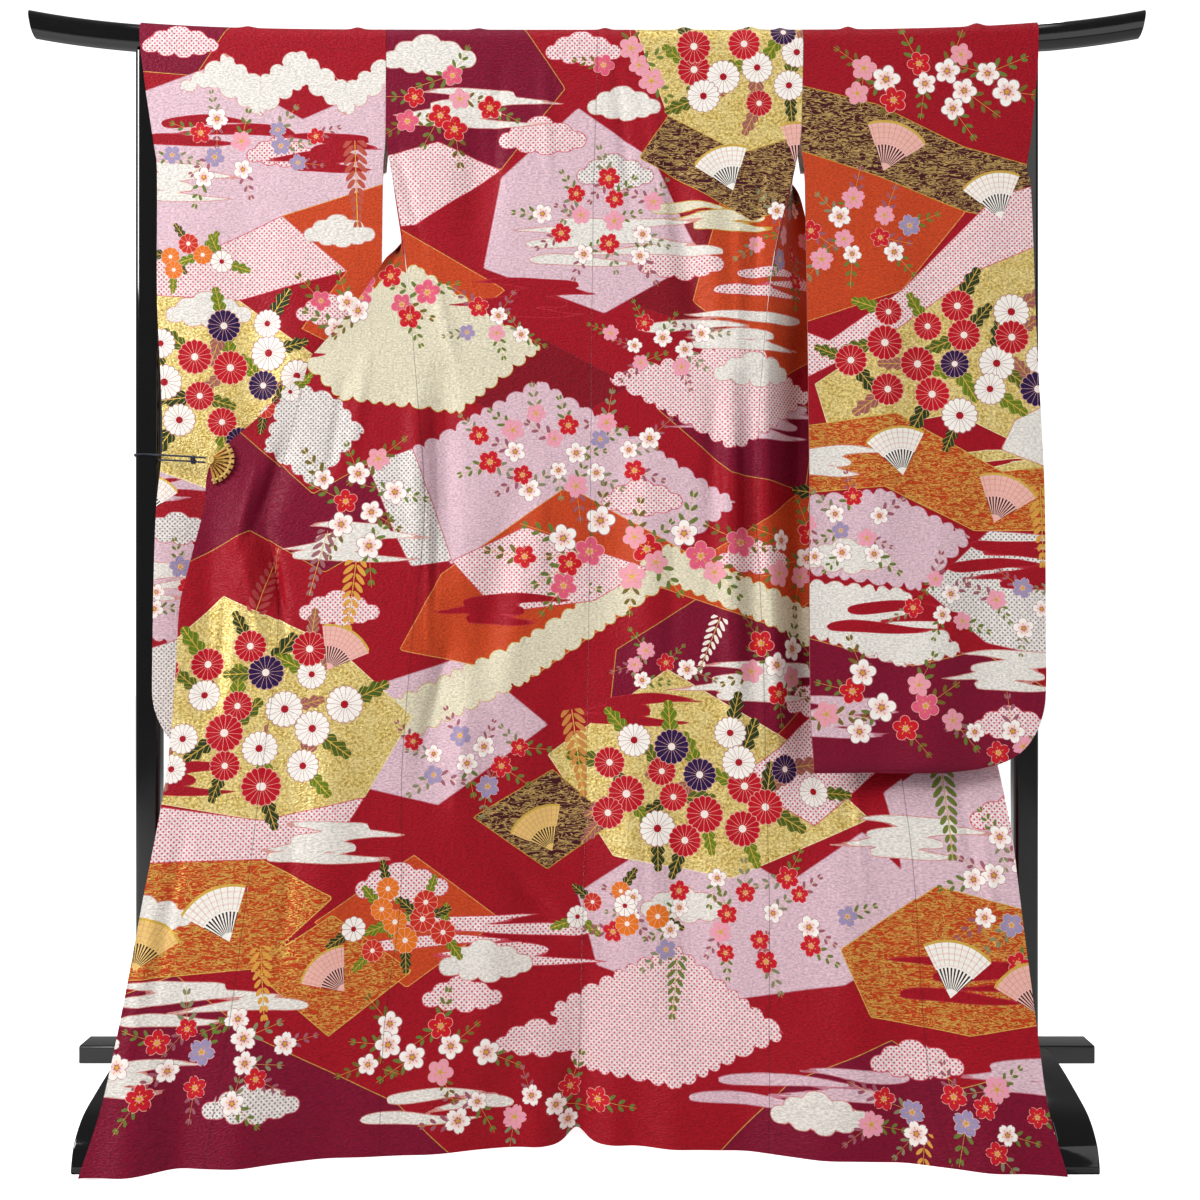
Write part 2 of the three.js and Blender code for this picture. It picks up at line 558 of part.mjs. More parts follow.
function sleeveGeometry(sleeve) {
  const { side, rows, lean, cuff } = sleeve;
  const opening = column(rows, "inner");
  const sideLine = column(SECTIONS, side < 0 ? "sideL" : "sideR");
  const sewn = (z) => (z > SLEEVE.sewnTo ? Math.abs(sideLine(z)) + SLEEVE.sewnGap : 0);
  const inner = (z) => Math.max(opening(z), sewn(z));
  const outer = column(rows, "outer");
  const bottom = rows[rows.length - 1].z;
  const near = (z) => {
    const drop = clamp01((BAR.level - z) / (BAR.level - bottom));
    return -CREST - lean * drop ** HANG.power;
  };
  const filled = (z) => smooth((z - bottom) / SLEEVE.fill) ** SLEEVE.shape;
  const thick = (z) => mix(SLEEVE.bottom, SLEEVE.full, filled(z));
  const [cuffFoot, lowTop] = [cuff + CUFF_ROWS.at(-1), bottom + LOW_ROWS[0]];
  const levels = [
    BAR.level - SLEEVE_TOP,
    ...CUFF_ROWS.map((d) => cuff + d),
    ...steps(SLEEVE_ROWS).slice(1).map((t) => mix(cuffFoot, lowTop, t)),
    ...LOW_ROWS.slice(1).map((d) => bottom + d),
  ];
  const spreadOut = steps(SLEEVE.columns).map((u) => u ** SLEEVE.crowd);
  const wave = (x, z) => {
    const low = smooth((BAR.level - z) / SLEEVE_WAVES_REACH);
    const rises = SLEEVE_WAVES.map((w) => w.rise * Math.sin(x / w.across + z / w.down));
    return low * rises.reduce((sum, rise) => sum + rise, 0);
  };
  const nearWall = (z, u) => {
    const x = mix(inner(z), outer(z), u);
    return new THREE.Vector3(side * x, near(z) - wave(x, z) * Math.sin(Math.PI * u), z);
  };
  const farWall = (z, u) => {
    const drawnIn = smooth((z - cuff + SLEEVE.drawnTo) / SLEEVE.change);
    const open = smooth((z - cuff + SLEEVE.openTo) / SLEEVE.change);
    const back = smooth((z - cuff - SLEEVE.clear) / SLEEVE.clear);
    const held = mix(Math.min(outer(z), SLEEVE.inset), outer(z), back);
    const edge = mix(outer(z), held, side < 0 ? 1 : drawnIn);
    const x = mix(inner(z), edge, u);
    const flat = smooth((edge - x) / SLEEVE.pinch);
    const along = nearWall(z, (x - inner(z)) / (outer(z) - inner(z)));
    const y = mix(along.y + mix(SLEEVE.edge, thick(z), flat), CREST, open);
    return new THREE.Vector3(side * x, Math.min(y, CREST), z);
  };
  const arc = steps(2 * TURN_STEPS);
  const grid = [
    ...levels.map((z) => spreadOut.map((u) => nearWall(z, u))).reverse(),
    ...arc.map((t) =>
      spreadOut.map((u) => {
        const x = side * mix(inner(BAR.level), outer(BAR.level), u);
        return overBar(x, Math.PI * (t - 0.5), 1);
      }),
    ),
    ...levels.map((z) => spreadOut.map((u) => farWall(z, u))),
  ];
  return wallGeometry(grid, WALL, { ring: true });
}

// ---- Stand ----

function roundedRect(width, height, radius) {
  const x = width / 2 - radius;
  const y = height / 2 - radius;
  const shape = new THREE.Shape();
  shape.absarc(x, y, radius, 0, Math.PI / 2);
  shape.absarc(-x, y, radius, Math.PI / 2, Math.PI);
  shape.absarc(-x, -y, radius, Math.PI, 1.5 * Math.PI);
  shape.absarc(x, -y, radius, 1.5 * Math.PI, 2 * Math.PI);
  return shape;
}

// The top bar: one stadium section carried along a line that lifts at both tips, with slanted ends.
function topBarGeometry() {
  const radius = BAR.depth / 2 - BAR.flat;
  const section = roundedRect(BAR.depth, BAR.height, radius).getPoints(BAR.curve);
  const stations = steps(BAR.stations).map((t) => mix(-1, 1, t));
  const points = [];
  stations.forEach((s) => {
    const spread = Math.sign(s) * Math.abs(s) ** BAR.crowd;
    section.slice(0, -1).forEach((p) => {
      const tip = Math.abs(s) === 1 ? (p.y / BAR.height - 0.5) * BAR.slant : 0;
      const x = spread * BAR.half + Math.sign(s) * tip;
      points.push(new THREE.Vector3(x, p.x, barLevel(x) + p.y));
    });
  });
  return sweptGeometry(points, section.length - 1);
}

// Rings of points in order, with a flat fan at each end.
function sweptGeometry(points, around) {
  const rings = points.length / around;
  const faces = [];
  for (let i = 0; i < rings - 1; i++)
    for (let j = 0; j < around; j++) {
      const a = i * around + j;
      const b = i * around + ((j + 1) % around);
      faces.push(a, b, b + around, a, b + around, a + around);
    }
  const end = (rings - 1) * around;
  for (let j = 1; j < around - 1; j++) {
    faces.push(0, j + 1, j);
    faces.push(end, end + j, end + j + 1);
  }
  return closedGeometry(points, faces);
}

function postGeometry() {
  const barUnder = barLevel(POST.x - POST.width / 2) - BAR.height / 2;
  const shape = roundedRect(POST.width, POST.depth, POST.round);
  const geometry = new THREE.ExtrudeGeometry(shape, {
    depth: barUnder - RAIL.top - 2 * SEAM,
    bevelEnabled: false,
    curveSegments: 5,
  });
  return geometry.translate(0, 0, RAIL.top + SEAM);
}

function railGeometry() {
  const shape = roundedRect(RAIL.depth, RAIL.top - RAIL.bottom, RAIL.round);
  const geometry = new THREE.ExtrudeGeometry(shape, {
    depth: 2 * RAIL.half,
    bevelEnabled: false,
    curveSegments: 3,
  });
  return geometry
    .translate(0, 0, -RAIL.half)
    .rotateZ(Math.PI / 2)
    .rotateY(Math.PI / 2)
    .translate(0, 0, (RAIL.top + RAIL.bottom) / 2);
}

// A foot runs front to back, with a notch in its top for the rail.
function footGeometry() {
  const upper = new THREE.SplineCurve(FOOT_PROFILE.map((p) => new THREE.Vector2(p.reach, p.height)));
  const notch = new THREE.Vector2(FOOT_PROFILE[0].reach, RAIL.bottom - SEAM);
  const toe = new THREE.Vector2(FOOT_TOE, 0);
  const front = [toe, ...upper.getPoints(FOOT.curvePoints).reverse(), notch];
  const back = front.map((p) => new THREE.Vector2(-p.x, p.y)).reverse();
  const shape = new THREE.Shape([...front, ...back]);
  const geometry = new THREE.ExtrudeGeometry(shape, { depth: FOOT.width, bevelEnabled: false });
  return geometry.translate(0, 0, -FOOT.width / 2).rotateZ(Math.PI / 2).rotateY(Math.PI / 2);
}

// ---- Clip and cord ----

// A pleated metal half fan: radial ribs that stand alternately proud.
function fanGeometry() {
  const count = CLIP.ribs * 2;
  const grid = steps(CLIP.rings).map((r) =>
    steps(count).map((t, i) => {
      const turn = THREE.MathUtils.degToRad(mix(CLIP_TURN.from, CLIP_TURN.to, t));
      const reach = mix(CLIP.inner, CLIP.radius, r);
      const proud = (i % 2 ? 1 : 0) * CLIP.pleat * r;
      return new THREE.Vector3(reach * Math.cos(turn), -proud, reach * Math.sin(turn));
    }),
  );
  return wallGeometry(grid, CLIP.thick);
}

// Spring jaws: one bent strip whose two arms hold the cloth's edge between them.
function jawGeometry() {
  const outer = JAW.gap / 2 + JAW.plate;
  const shape = new THREE.Shape();
  shape.moveTo(JAW.length, -outer);
  shape.lineTo(JAW.length, -JAW.gap / 2);
  shape.lineTo(0, -JAW.gap / 2);
  shape.absarc(0, 0, JAW.gap / 2, 1.5 * Math.PI, Math.PI / 2, true);
  shape.lineTo(JAW.length, JAW.gap / 2);
  shape.lineTo(JAW.length, outer);
  shape.lineTo(0, outer);
  shape.absarc(0, 0, outer, Math.PI / 2, 1.5 * Math.PI, false);
  const geometry = new THREE.ExtrudeGeometry(shape, {
    depth: JAW.height,
    bevelEnabled: false,
    curveSegments: 6,
  });
  return geometry.translate(0, 0, -JAW.height / 2);
}

// The cord runs from the jaws past the sleeve's edge, round the post and back to the jaws.
const CORD_ROUTE = [
  { x: -514.8, y: -60.4, z: 899 },
  { x: -524, y: -59, z: 900 },
  { x: -545, y: -51, z: 902 },
  { x: -568, y: -40, z: 904 },
  { x: -585, y: -31, z: 906 },
  { x: -596, y: -20.5, z: 907 },
  { x: -606, y: -16, z: 908 },
  { x: -617, y: -15.9, z: 908 },
  { x: -624.2, y: -13.2, z: 908 },
  { x: -626.9, y: -6, z: 907.5 },
  { x: -626.9, y: 6, z: 906.5 },
  { x: -624.2, y: 13.2, z: 906 },
  { x: -617, y: 15.9, z: 905 },
  { x: -599, y: 15.9, z: 903.5 },
  { x: -591.8, y: 13.2, z: 903 },
  { x: -589.2, y: 6, z: 902 },
  { x: -589.2, y: -6, z: 901 },
  { x: -589.2, y: -18, z: 900 },
  { x: -585, y: -31, z: 899 },
  { x: -568, y: -41, z: 897.5 },
  { x: -545, y: -52, z: 895.5 },
  { x: -524, y: -60, z: 893.5 },
  { x: -514.8, y: -60.4, z: 893 },
];

function cordGeometry() {
  const path = new THREE.CatmullRomCurve3(
    CORD_ROUTE.map((p) => new THREE.Vector3(p.x, p.y, p.z)),
    false,
    "centripetal",
  );
  const section = new THREE.Shape().absarc(0, 0, CORD.radius, 0, 2 * Math.PI);
  return new THREE.ExtrudeGeometry(section, {
    steps: CORD.steps,
    extrudePath: path,
    bevelEnabled: false,
    curveSegments: CORD.curve,
  });
}

// ---- The scene graph ----

const group = new THREE.Group();

function add(name, geometry, look, place) {
  const mesh = new THREE.Mesh(geometry, material(look));
  mesh.name = name;
  if (place) mesh.position.copy(place);
  group.add(mesh);
  return mesh;
}

add(
  "back_left",
  backPanel({ line: "sideL", gap: 0 }, { line: "centre", gap: -SEAM / 2 }, COLUMNS.back),
  COLOURS.silk,
);
add(
  "back_right",
  backPanel({ line: "centre", gap: SEAM / 2 }, { line: "sideR", gap: 0 }, COLUMNS.back),
  COLOURS.silk,
);
add("front_left", frontPanel(-1, LEFT_EDGE, COLUMNS.front), COLOURS.silk);
add("front_right", frontPanel(1, RIGHT_EDGE, COLUMNS.front), COLOURS.silk);
add("okumi_left", okumiPanel(-1, LEFT_EDGE, COLUMNS.overlap), COLOURS.okumi);
add("okumi_right", okumiPanel(1, RIGHT_EDGE, COLUMNS.overlap), COLOURS.okumi);
add("collar_neck", collarUpperGeometry(), COLOURS.collar);
add("collar_left", collarLower(-1), COLOURS.collar);
add("collar_right", collarLower(1), COLOURS.collar);
add("sleeve_left", sleeveGeometry(SLEEVE_LEFT), COLOURS.sleeve);
add("sleeve_right", sleeveGeometry(SLEEVE_RIGHT), COLOURS.sleeve);

add("top_bar", topBarGeometry(), COLOURS.lacquer);
add("lower_rail", railGeometry(), COLOURS.lacquer);
[
  ["left", -1],
  ["right", 1],
].forEach(([word, side]) => {
  const place = new THREE.Vector3(side * POST.x, 0, 0);
  add(`post_${word}`, postGeometry(), COLOURS.lacquer, place);
  add(`foot_${word}`, footGeometry(), COLOURS.lacquer, place);
});

const clipDepth = clothDepth(CLIP.x + JAW.length / 2, CLIP.z) + COLLAR_OFF / 2;
const clipPlace = new THREE.Vector3(CLIP.x, clipDepth, CLIP.z);
add("clip_jaws", jawGeometry(), COLOURS.gold, clipPlace);
const fanLift = JAW.gap / 2 + JAW.plate + CLIP_OFF + CLIP.thick / 2;
const fan = add("clip_fan", fanGeometry(), COLOURS.gold, clipPlace.clone().setY(clipDepth - fanLift));
fan.rotation.x = THREE.MathUtils.degToRad(CLIP_TURN.tilt);
add("clip_cord", cordGeometry(), COLOURS.navy);

// The origin is on the floor in the middle of the whole outline.
group.updateMatrixWorld(true);
group.position.y = -new THREE.Box3().setFromObject(group, true).getCenter(new THREE.Vector3()).y;

export default group;
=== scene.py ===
"""A long-sleeved silk kimono hung over a lacquered stand, back to the viewer.

Tables and sizes are in millimetres, as a maker would write them, and meshes are in metres.
"""

import json
import math
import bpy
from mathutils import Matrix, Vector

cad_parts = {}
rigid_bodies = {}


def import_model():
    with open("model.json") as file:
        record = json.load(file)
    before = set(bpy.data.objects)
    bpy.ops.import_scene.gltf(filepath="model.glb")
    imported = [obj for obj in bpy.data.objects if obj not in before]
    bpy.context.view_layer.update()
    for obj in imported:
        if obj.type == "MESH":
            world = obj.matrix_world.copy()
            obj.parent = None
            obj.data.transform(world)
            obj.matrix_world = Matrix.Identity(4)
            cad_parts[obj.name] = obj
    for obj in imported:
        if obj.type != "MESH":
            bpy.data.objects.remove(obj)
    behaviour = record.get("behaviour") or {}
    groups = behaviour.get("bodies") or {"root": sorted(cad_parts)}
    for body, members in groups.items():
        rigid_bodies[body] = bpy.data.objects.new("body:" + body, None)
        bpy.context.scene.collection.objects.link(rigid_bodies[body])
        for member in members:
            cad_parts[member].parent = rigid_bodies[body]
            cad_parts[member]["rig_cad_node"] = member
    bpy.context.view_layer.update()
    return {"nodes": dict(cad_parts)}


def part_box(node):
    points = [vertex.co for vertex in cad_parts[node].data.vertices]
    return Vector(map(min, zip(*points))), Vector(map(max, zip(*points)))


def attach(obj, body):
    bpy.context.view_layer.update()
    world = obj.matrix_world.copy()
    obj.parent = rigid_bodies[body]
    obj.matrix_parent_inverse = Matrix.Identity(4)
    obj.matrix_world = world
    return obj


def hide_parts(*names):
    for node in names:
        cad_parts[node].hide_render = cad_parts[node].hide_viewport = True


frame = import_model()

from types import SimpleNamespace as Sizes

import bpy
import numpy as np
from bpy.props import FloatProperty, FloatVectorProperty, IntProperty, PointerProperty
from bpy.types import Operator, Panel, PropertyGroup

bl_info = {
    "name": "Furisode Kimono on a Stand",
    "version": (1, 0, 0),
    "blender": (4, 5, 0),
    "location": "View3D > Sidebar > Kimono",
    "description": "Builds a hung furisode kimono, its clip and its lacquered stand",
    "category": "Add Mesh",
}

MM = 0.001
DECIMETRE = 0.01  # a millimetre in decimetres
STAND_Y = sum(corner.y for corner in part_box("lower_rail")) / 2  # the stand's plane, in metres

# ---- Sizes of the garment and the stand, in mm, with y from the stand's plane ----

WALL = 1.8  # cloth with its lining
SEAM = 0.05  # the gap that pieces sewn to each other keep
DRAPE = 0.8  # between the bar's round top and the cloth
HEM_LIFT = 3
NECK_HALF = 92
COLLAR_WIDTH = 55
SHARP = math.radians(50)  # edges sharper than this aren't smoothed
SQUARE = 0.55  # a wall that faces forward more than this has square edges

BAR = Sizes(half=774, height=37, depth=30, level=1478, rise=30, power=5, slant=7, flat=0.2)
BAR_RINGS = 121
BAR_CUT = 12  # the power by which its ends slant
POST = Sizes(x=608, width=34, depth=28, round=7)
RAIL = Sizes(half=698, bottom=69, top=94, depth=50, round=3, end=0.999, drawn=0.985)
FOOT = Sizes(width=50, round=2.5)
FOOT_PROFILE = [(25.3, 92), (85, 86), (157, 71), (202, 58), (232, 35), (243, 8)]
FOOT_TOE = (241, 0)

# Seams and cut edges by height: x of each line where the back, fronts and overlaps meet.
SECTION_KEYS = ("z", "centre", "sideL", "sideR", "okumiL", "okumiR", "outerL", "outerR")
SECTIONS = [
    (1497, 15, -277, 299), (1400, 13, -277, 297), (1340, 11, -276, 294), (1280, 9, -266, 281),
    (1177, 8, -249, 256), (1033, 6, -235, 240, -379, 348, -381, 350),
    (960, 6, -228, 235, -395, 364, -440, 385), (896, 5, -222, 233, -412, 378, -504, 415),
    (830, 5, -219, 230, -432, 388, -514, 440), (760, 4, -223, 233, -423, 396, -529, 465),
    (700, 3, -229, 235, -412, 403, -540, 490), (620, 2, -236, 237, -412, 410, -541, 517),
    (480, 0, -244, 237, -425, 417, -546, 544), (320, -4, -242, 239, -438, 425, -566, 555),
    (160, -8, -259, 236, -452, 429, -585, 566), (80, -10, -261, 235, -462, 436, -597, 572),
    (3, -12, -262, 233, -472, 456, -617, 589),
]

# The front edges above the overlaps: armhole height, the edge from the neck out through the slit,
# the gather's depth, and the way and share of its width that the collar stands off the edge.
EDGE_KEYS = ("armhole", "x", "y", "z", "gather", "cx", "cy", "cz", "wide")
LEFT_EDGE = [
    (1478, -NECK_HALF, 17, 1478, 0, 0.6, 0, -0.8, 1),
    (1405, -140, 30, 1395, 4, 0.85, 0.1, -0.5, 1),
    (1335, -190, 42, 1315, 22, 0.85, -0.3, -0.45, 0.9),
    (1270, -235, 40, 1250, 44, 0.31, -0.95, -0.1, 0.5),
    (1222, -264, 18, 1203, 40),
    (1180, -277, -24, 1176, 12),
    (1158, -296, -30, 1145, 3),
    (1135, -325, -37, 1100, 0),
    (1058, -379, -43, 1035, 0),
]
RIGHT_EDGE = [
    (1478, NECK_HALF, 17, 1478, 0, -0.6, 0, -0.8, 1),
    (1405, 148, 30, 1395, 4, -0.85, 0.1, -0.5, 1),
    (1352, 208, 46, 1334, 22, -0.85, -0.3, -0.45, 0.9),
    (1314, 282, 49, 1306, 31, -0.6, 0.6, -0.5, 0.6),
    (1264, 307, 42, 1258, 28),
    (1215, 314, 33, 1182, 20),
    (1160, 322, 21, 1125, 8),
    (1110, 332, 12, 1078, 0),
    (1058, 348, 4, 1035, 0),
]
SLIT_FOOT = 1180
TURNED = Sizes(start=1320, stop=1085, room=1.1)
SPREAD_FROM = 1058  # armhole height under which a front lies spread
TIP = Sizes(level=1029, row=1012.1, width=8)  # the overlap's tip, and where it is full width
COLLAR_LOW = Sizes(top=1010, foot=640, off=4.2, near=2.5, start=1.2, slope=12)
COLLAR_CLEAR = 2.4  # from a front's edge to the collar's
COLLAR_LOOSE = 0.3  # how loosely it lies on the bar
NECK_TURN = 0.11  # how far round the bar the collar starts along the neck
NECK_INSET = (10, 3)  # how far inside the neck's end the collar turns down, from start to end
NECK_STOPS = (0.8, 0.4, 0, -0.4, -0.8)  # shares of the neck where the collar's cross lines lie
TURN_STOPS = (0.2, 0.4, 0.6, 0.8, 1)  # and of its turn down
COLLAR_ROWS = 9  # rows of points from one cross line to the next

# Large folds: a soft ridge (rise > 0, towards the viewer) or trough along a line.
FOLDS = [
    (-148, 1370, -152, 1190, 26, -9), (118, 1290, 160, 1050, 20, -11), (150, 1300, 190, 1060, 22, 7),
    (222, 1000, 226, 560, 17, -13), (196, 1020, 199, 540, 16, 9), (176, 990, 170, 800, 14, -7),
    (-196, 1010, -190, 740, 18, -10), (-232, 980, -228, 760, 13, 8), (-402, 930, -440, 800, 14, -9),
    (-466, 850, -452, 700, 20, 9), (-434, 800, -408, 690, 12, -10), (-505, 810, -500, 560, 20, -8),
    (-180, 690, -212, 470, 24, -11), (-150, 620, -168, 400, 22, 7), (-110, 360, -40, 270, 22, -8),
    (-70, 340, 0, 250, 20, 6), (60, 520, 78, 180, 34, 7), (330, 380, 345, 60, 34, 8),
    (-330, 560, -345, 220, 34, 8), (-104, 830, -150, 560, 26, -9), (-74, 810, -116, 570, 20, 6),
    (36, 900, 28, 650, 30, -7), (74, 880, 88, 600, 24, 6), (-30, 600, -46, 320, 30, -7),
    (124, 420, 142, 120, 30, -8), (-120, 300, -142, 60, 28, 7),
]
# Fine creases, which the large folds end in.
CREASES = [
    (-262, 1330, -205, 1120, 7, -2.2), (-240, 1250, -176, 1020, 8, 2.0),
    (-120, 1440, -128, 1260, 9, -1.6), (-60, 1450, -52, 1290, 8, 1.4), (40, 1440, 62, 1240, 8, -1.8),
    (88, 1400, 112, 1200, 9, 1.7), (240, 1300, 228, 1120, 7, -2.2), (210, 1260, 206, 1040, 8, 2.0),
    (-208, 960, -205, 700, 5, -2.2), (-214, 900, -212, 640, 4, 1.6), (-420, 900, -452, 790, 5, -2.4),
    (-446, 880, -470, 770, 6, 2.0), (-424, 780, -400, 660, 5, -2.4), (-455, 760, -430, 640, 6, 1.8),
    (-480, 720, -486, 560, 7, -2.0), (-330, 1010, -352, 860, 7, -1.8), (-300, 1040, -318, 900, 8, 1.6),
    (212, 940, 214, 700, 5, -2.4), (186, 900, 190, 640, 5, 1.8), (240, 720, 246, 480, 7, -2.0),
    (-188, 640, -222, 500, 7, -2.2), (-160, 560, -176, 430, 7, 1.6), (-92, 330, -30, 262, 7, -1.8),
    (-40, 300, 18, 232, 7, 1.5), (70, 420, 84, 220, 9, -1.6), (300, 620, 312, 420, 9, -1.5),
    (352, 560, 360, 330, 8, 1.5), (480, 540, 505, 330, 9, -1.8), (510, 420, 530, 220, 8, 1.6),
    (-380, 420, -392, 220, 9, -1.6), (-520, 420, -545, 200, 9, -1.8), (-548, 330, -572, 120, 8, 1.7),
    (120, 820, 112, 620, 10, -1.4), (-60, 900, -66, 640, 11, 1.3),
]
CREASE_GAIN = 1.9  # the fine creases are this many times as deep as their table says
HEM_WAVES = [
    (-560, 30, 12, 130), (-505, 26, -10, 120), (-430, 30, 9, 110), (-330, 40, -7, 120),
    (-190, 40, 7, 150), (-60, 22, 9, 90), (-13, 18, -14, 110), (34, 22, 9, 90), (110, 30, 8, 110),
    (205, 34, -8, 130), (300, 36, 8, 120), (400, 34, -7, 120), (500, 34, 9, 130),
]
# Small humps of cloth along the bar: x, half width and height.
HUMPS = [
    (25, 7, 3.0), (135, 9, 4.0), (226, 10, 4.6), (268, 6, 3.0), (362, 8, 4.2), (540, 9, 4.6),
    (-150, 8, 2.4), (-318, 8, 3.2), (-470, 9, 2.6),
]
NOTCH = Sizes(x=-13, half=15, lift=15, fade=150)
HANG = Sizes(front=17, power=1.7, hem=136, flare=0.207)
BEHIND_SLEEVE = [
    (1300, 52), (1177, 52), (1033, 50), (960, 48), (800, 44), (667, 44), (540, 38), (480, 26),
    (400, 4), (330, 0),
]
PRESS = Sizes(start=2, over=60)

SLEEVE_KEYS = ("z", "inner", "outer")
SLEEVES = {
    "left": {
        "side": -1,
        "lean": 20,
        "cuff": 1300,
        "rows": [
            (1497, 277.4, 620), (1406, 277.4, 608), (1340, 278, 598), (1305, 281, 593),
            (1123, 283, 592), (927, 283, 583.5), (824, 283, 592), (593, 283, 595), (560, 283, 592),
            (530, 283, 579), (506, 283, 558), (490, 283, 522), (482, 283, 470),
        ],
    },
    "right": {
        "side": 1,
        "lean": 115,
        "cuff": 1300,
        "rows": [
            (1497, 299.4, 624), (1434, 298.4, 621), (1340, 294.6, 611), (1300, 299, 605),
            (1280, 300, 610), (1056, 301, 613), (860, 300, 616), (667, 296, 609), (578, 295, 604),
            (545, 295, 595), (515, 296, 576), (496, 297, 548), (486, 297, 510), (482, 297, 467),
        ],
    },
}
SLEEVE = Sizes(
    full=34, bottom=7, fill=220, power=0.7, pinch=90, edge=2.3, meet=46, lap=6, even=6, inset=588.5,
    clear=40, seam=0.2,
)
CUFF = Sizes(draw=16, open=4, blend=10)  # where the far wall is drawn in and opens below the cuff
SLEEVE_FOOT = (4, 2, 0.8, 0)  # closer rows above a sleeve's bottom
# Soft waves of a sleeve: height, and how far across and down a radian of each reaches.
SLEEVE_WAVES = [(4, 37, 260), (2.5, 19, -150)]
WAVES_GROW = 600  # the drop in which they reach their full height
SEWN_TO = 1335

CLIP = Sizes(x=-508, z=896, radius=34, ribs=9, thick=1.6, pleat=2.2)
CORD_RADIUS = 1.2
CORD_ROUTE = [
    (-514.8, -60.4, 899), (-524, -59, 900), (-545, -51, 902), (-568, -40, 904), (-585, -31, 906),
    (-596, -20.5, 907), (-606, -16, 908), (-617, -15.9, 908), (-624.2, -13.2, 908),
    (-626.9, -6, 907.5), (-626.9, 6, 906.5), (-624.2, 13.2, 906), (-617, 15.9, 905),
    (-599, 15.9, 903.5), (-591.8, 13.2, 903), (-589.2, 6, 902), (-589.2, -6, 901), (-589.2, -18, 900),
    (-585, -31, 899), (-568, -41, 897.5), (-545, -52, 895.5), (-524, -60, 893.5), (-514.8, -60.4, 893),
]

# ---- Curves through the tables ----


def clamp01(t):
    return np.clip(t, 0.0, 1.0)


def mix(a, b, t):
    return a + (b - a) * t


def points_at(x, y, z):
    """Places from their three coordinates, spread to one shape."""
    return np.stack(np.broadcast_arrays(x, y, z), -1)


def smooth(t):
    """Three t squared less two t cubed, from 0 to 1."""
    t = clamp01(t)
    return t * t * (3 - 2 * t)


def column(rows, keys, key, by="z"):
    """A Hermite curve through one column of a table by another that falls, with slopes from the
    neighbours."""
    k, b = keys.index(key), keys.index(by)
    kept = [row for row in rows if len(row) > k]
    at = np.array([row[b] for row in kept], float)
    value = np.array([row[k] for row in kept], float)
    n = len(kept)
    above, below = np.maximum(np.arange(n) - 1, 0), np.minimum(np.arange(n) + 1, n - 1)
    slope = (value[below] - value[above]) / (at[below] - at[above])

    def curve(place):
        place = np.asarray(place, float)
        i = np.clip(np.searchsorted(-at, -place) - 1, 0, n - 2)
        h = at[i + 1] - at[i]
        t = clamp01((place - at[i]) / h)
        u = 1 - t
        ends = value[i] * (1 + 2 * t) * u * u + value[i + 1] * (3 - 2 * t) * t * t
        return ends + h * slope[i] * t * u * u - h * slope[i + 1] * t * t * u

    return curve


SECTION = {key: column(SECTIONS, SECTION_KEYS, key) for key in SECTION_KEYS[1:]}
PRESSED_BACK = column(BEHIND_SLEEVE, ("z", "back"), "back")
CREST = BAR.depth / 2 + DRAPE + WALL / 2


def section_line(word, side):
    return SECTION[word + ("L" if side < 0 else "R")]


def bar_level(x):
    return BAR.level + BAR.rise * (np.abs(x) / BAR.half) ** BAR.power


def crest_level(x):
    return bar_level(x) + (BAR.height - BAR.depth) / 2


def hump_rise(x):
    """The sum of the bell-shaped humps along the bar."""
    return sum(rise * np.exp(-(((x - at) / half) ** 2)) for at, half, rise in HUMPS)


def drawn_up(x, z):
    """The hem lifted in a bell-shaped notch at the centre seam, fading upwards."""
    lift = NOTCH.lift * np.exp(-(((x - NOTCH.x) / NOTCH.half) ** 2))
    return z + lift * clamp01(1 - (z - HEM_LIFT) / NOTCH.fade)


def ridge(x, z, fold):
    """A bell-shaped ridge round a line, highest at its middle and low at its ends."""
    x0, z0, x1, z1, width, rise = fold
    dx, dz = x1 - x0, z1 - z0
    along = clamp01(((x - x0) * dx + (z - z0) * dz) / (dx * dx + dz * dz))
    off = np.hypot(x - x0 - along * dx, z - z0 - along * dz)
    return rise * np.sin(np.pi * mix(*FOLD_ENDS, along)) * np.exp(-((off / width) ** 2))


def fold_rise(x, z):
    """The sum of all folds, creases and hem waves at a place seen from the front."""
    total = sum(ridge(x, z, fold) for fold in FOLDS)
    total = total + CREASE_GAIN * sum(ridge(x, z, fold) for fold in CREASES)
    for at, half, rise, reach in HEM_WAVES:
        total = total + rise * np.exp(-(((x - at) / half) ** 2) - ((z - HEM_LIFT) / reach) ** 2)
    return total


def cloth_depth(x, z):
    """How the cloth falls forward: a power of the drop from the bar, less the folds and the press
    of the right sleeve."""
    drop = clamp01((BAR.level - z) / BAR.level)
    span = HANG.hem + HANG.flare * np.abs(x) - HANG.front
    reach = HANG.front + span * drop ** HANG.power
    press = smooth((x - SECTION["sideR"](z) - PRESS.start) / PRESS.over)
    return PRESSED_BACK(z) * press - reach - fold_rise(x, z)


def over_bar(x, turn, sign):
    """A quarter or half circle over the bar's round top, by its turn from the crest, with the
    humps highest at the crest."""
    up = np.cos(turn)
    z = crest_level(x) + CREST * up + hump_rise(x) * up**2
    return points_at(x, sign * CREST * np.sin(turn), z)


# ---- Grids and walls ----

GRID = 4.0  # spacing of the cloth's points
EDGE_STEPS = (0, 0.9, 2.6, 5.6)  # closer columns along a sewn or folded edge
TURN_ROWS = 9
FOLD_ENDS = (0.12, 0.88)  # the part of a half sine wave that a fold's height follows along its line


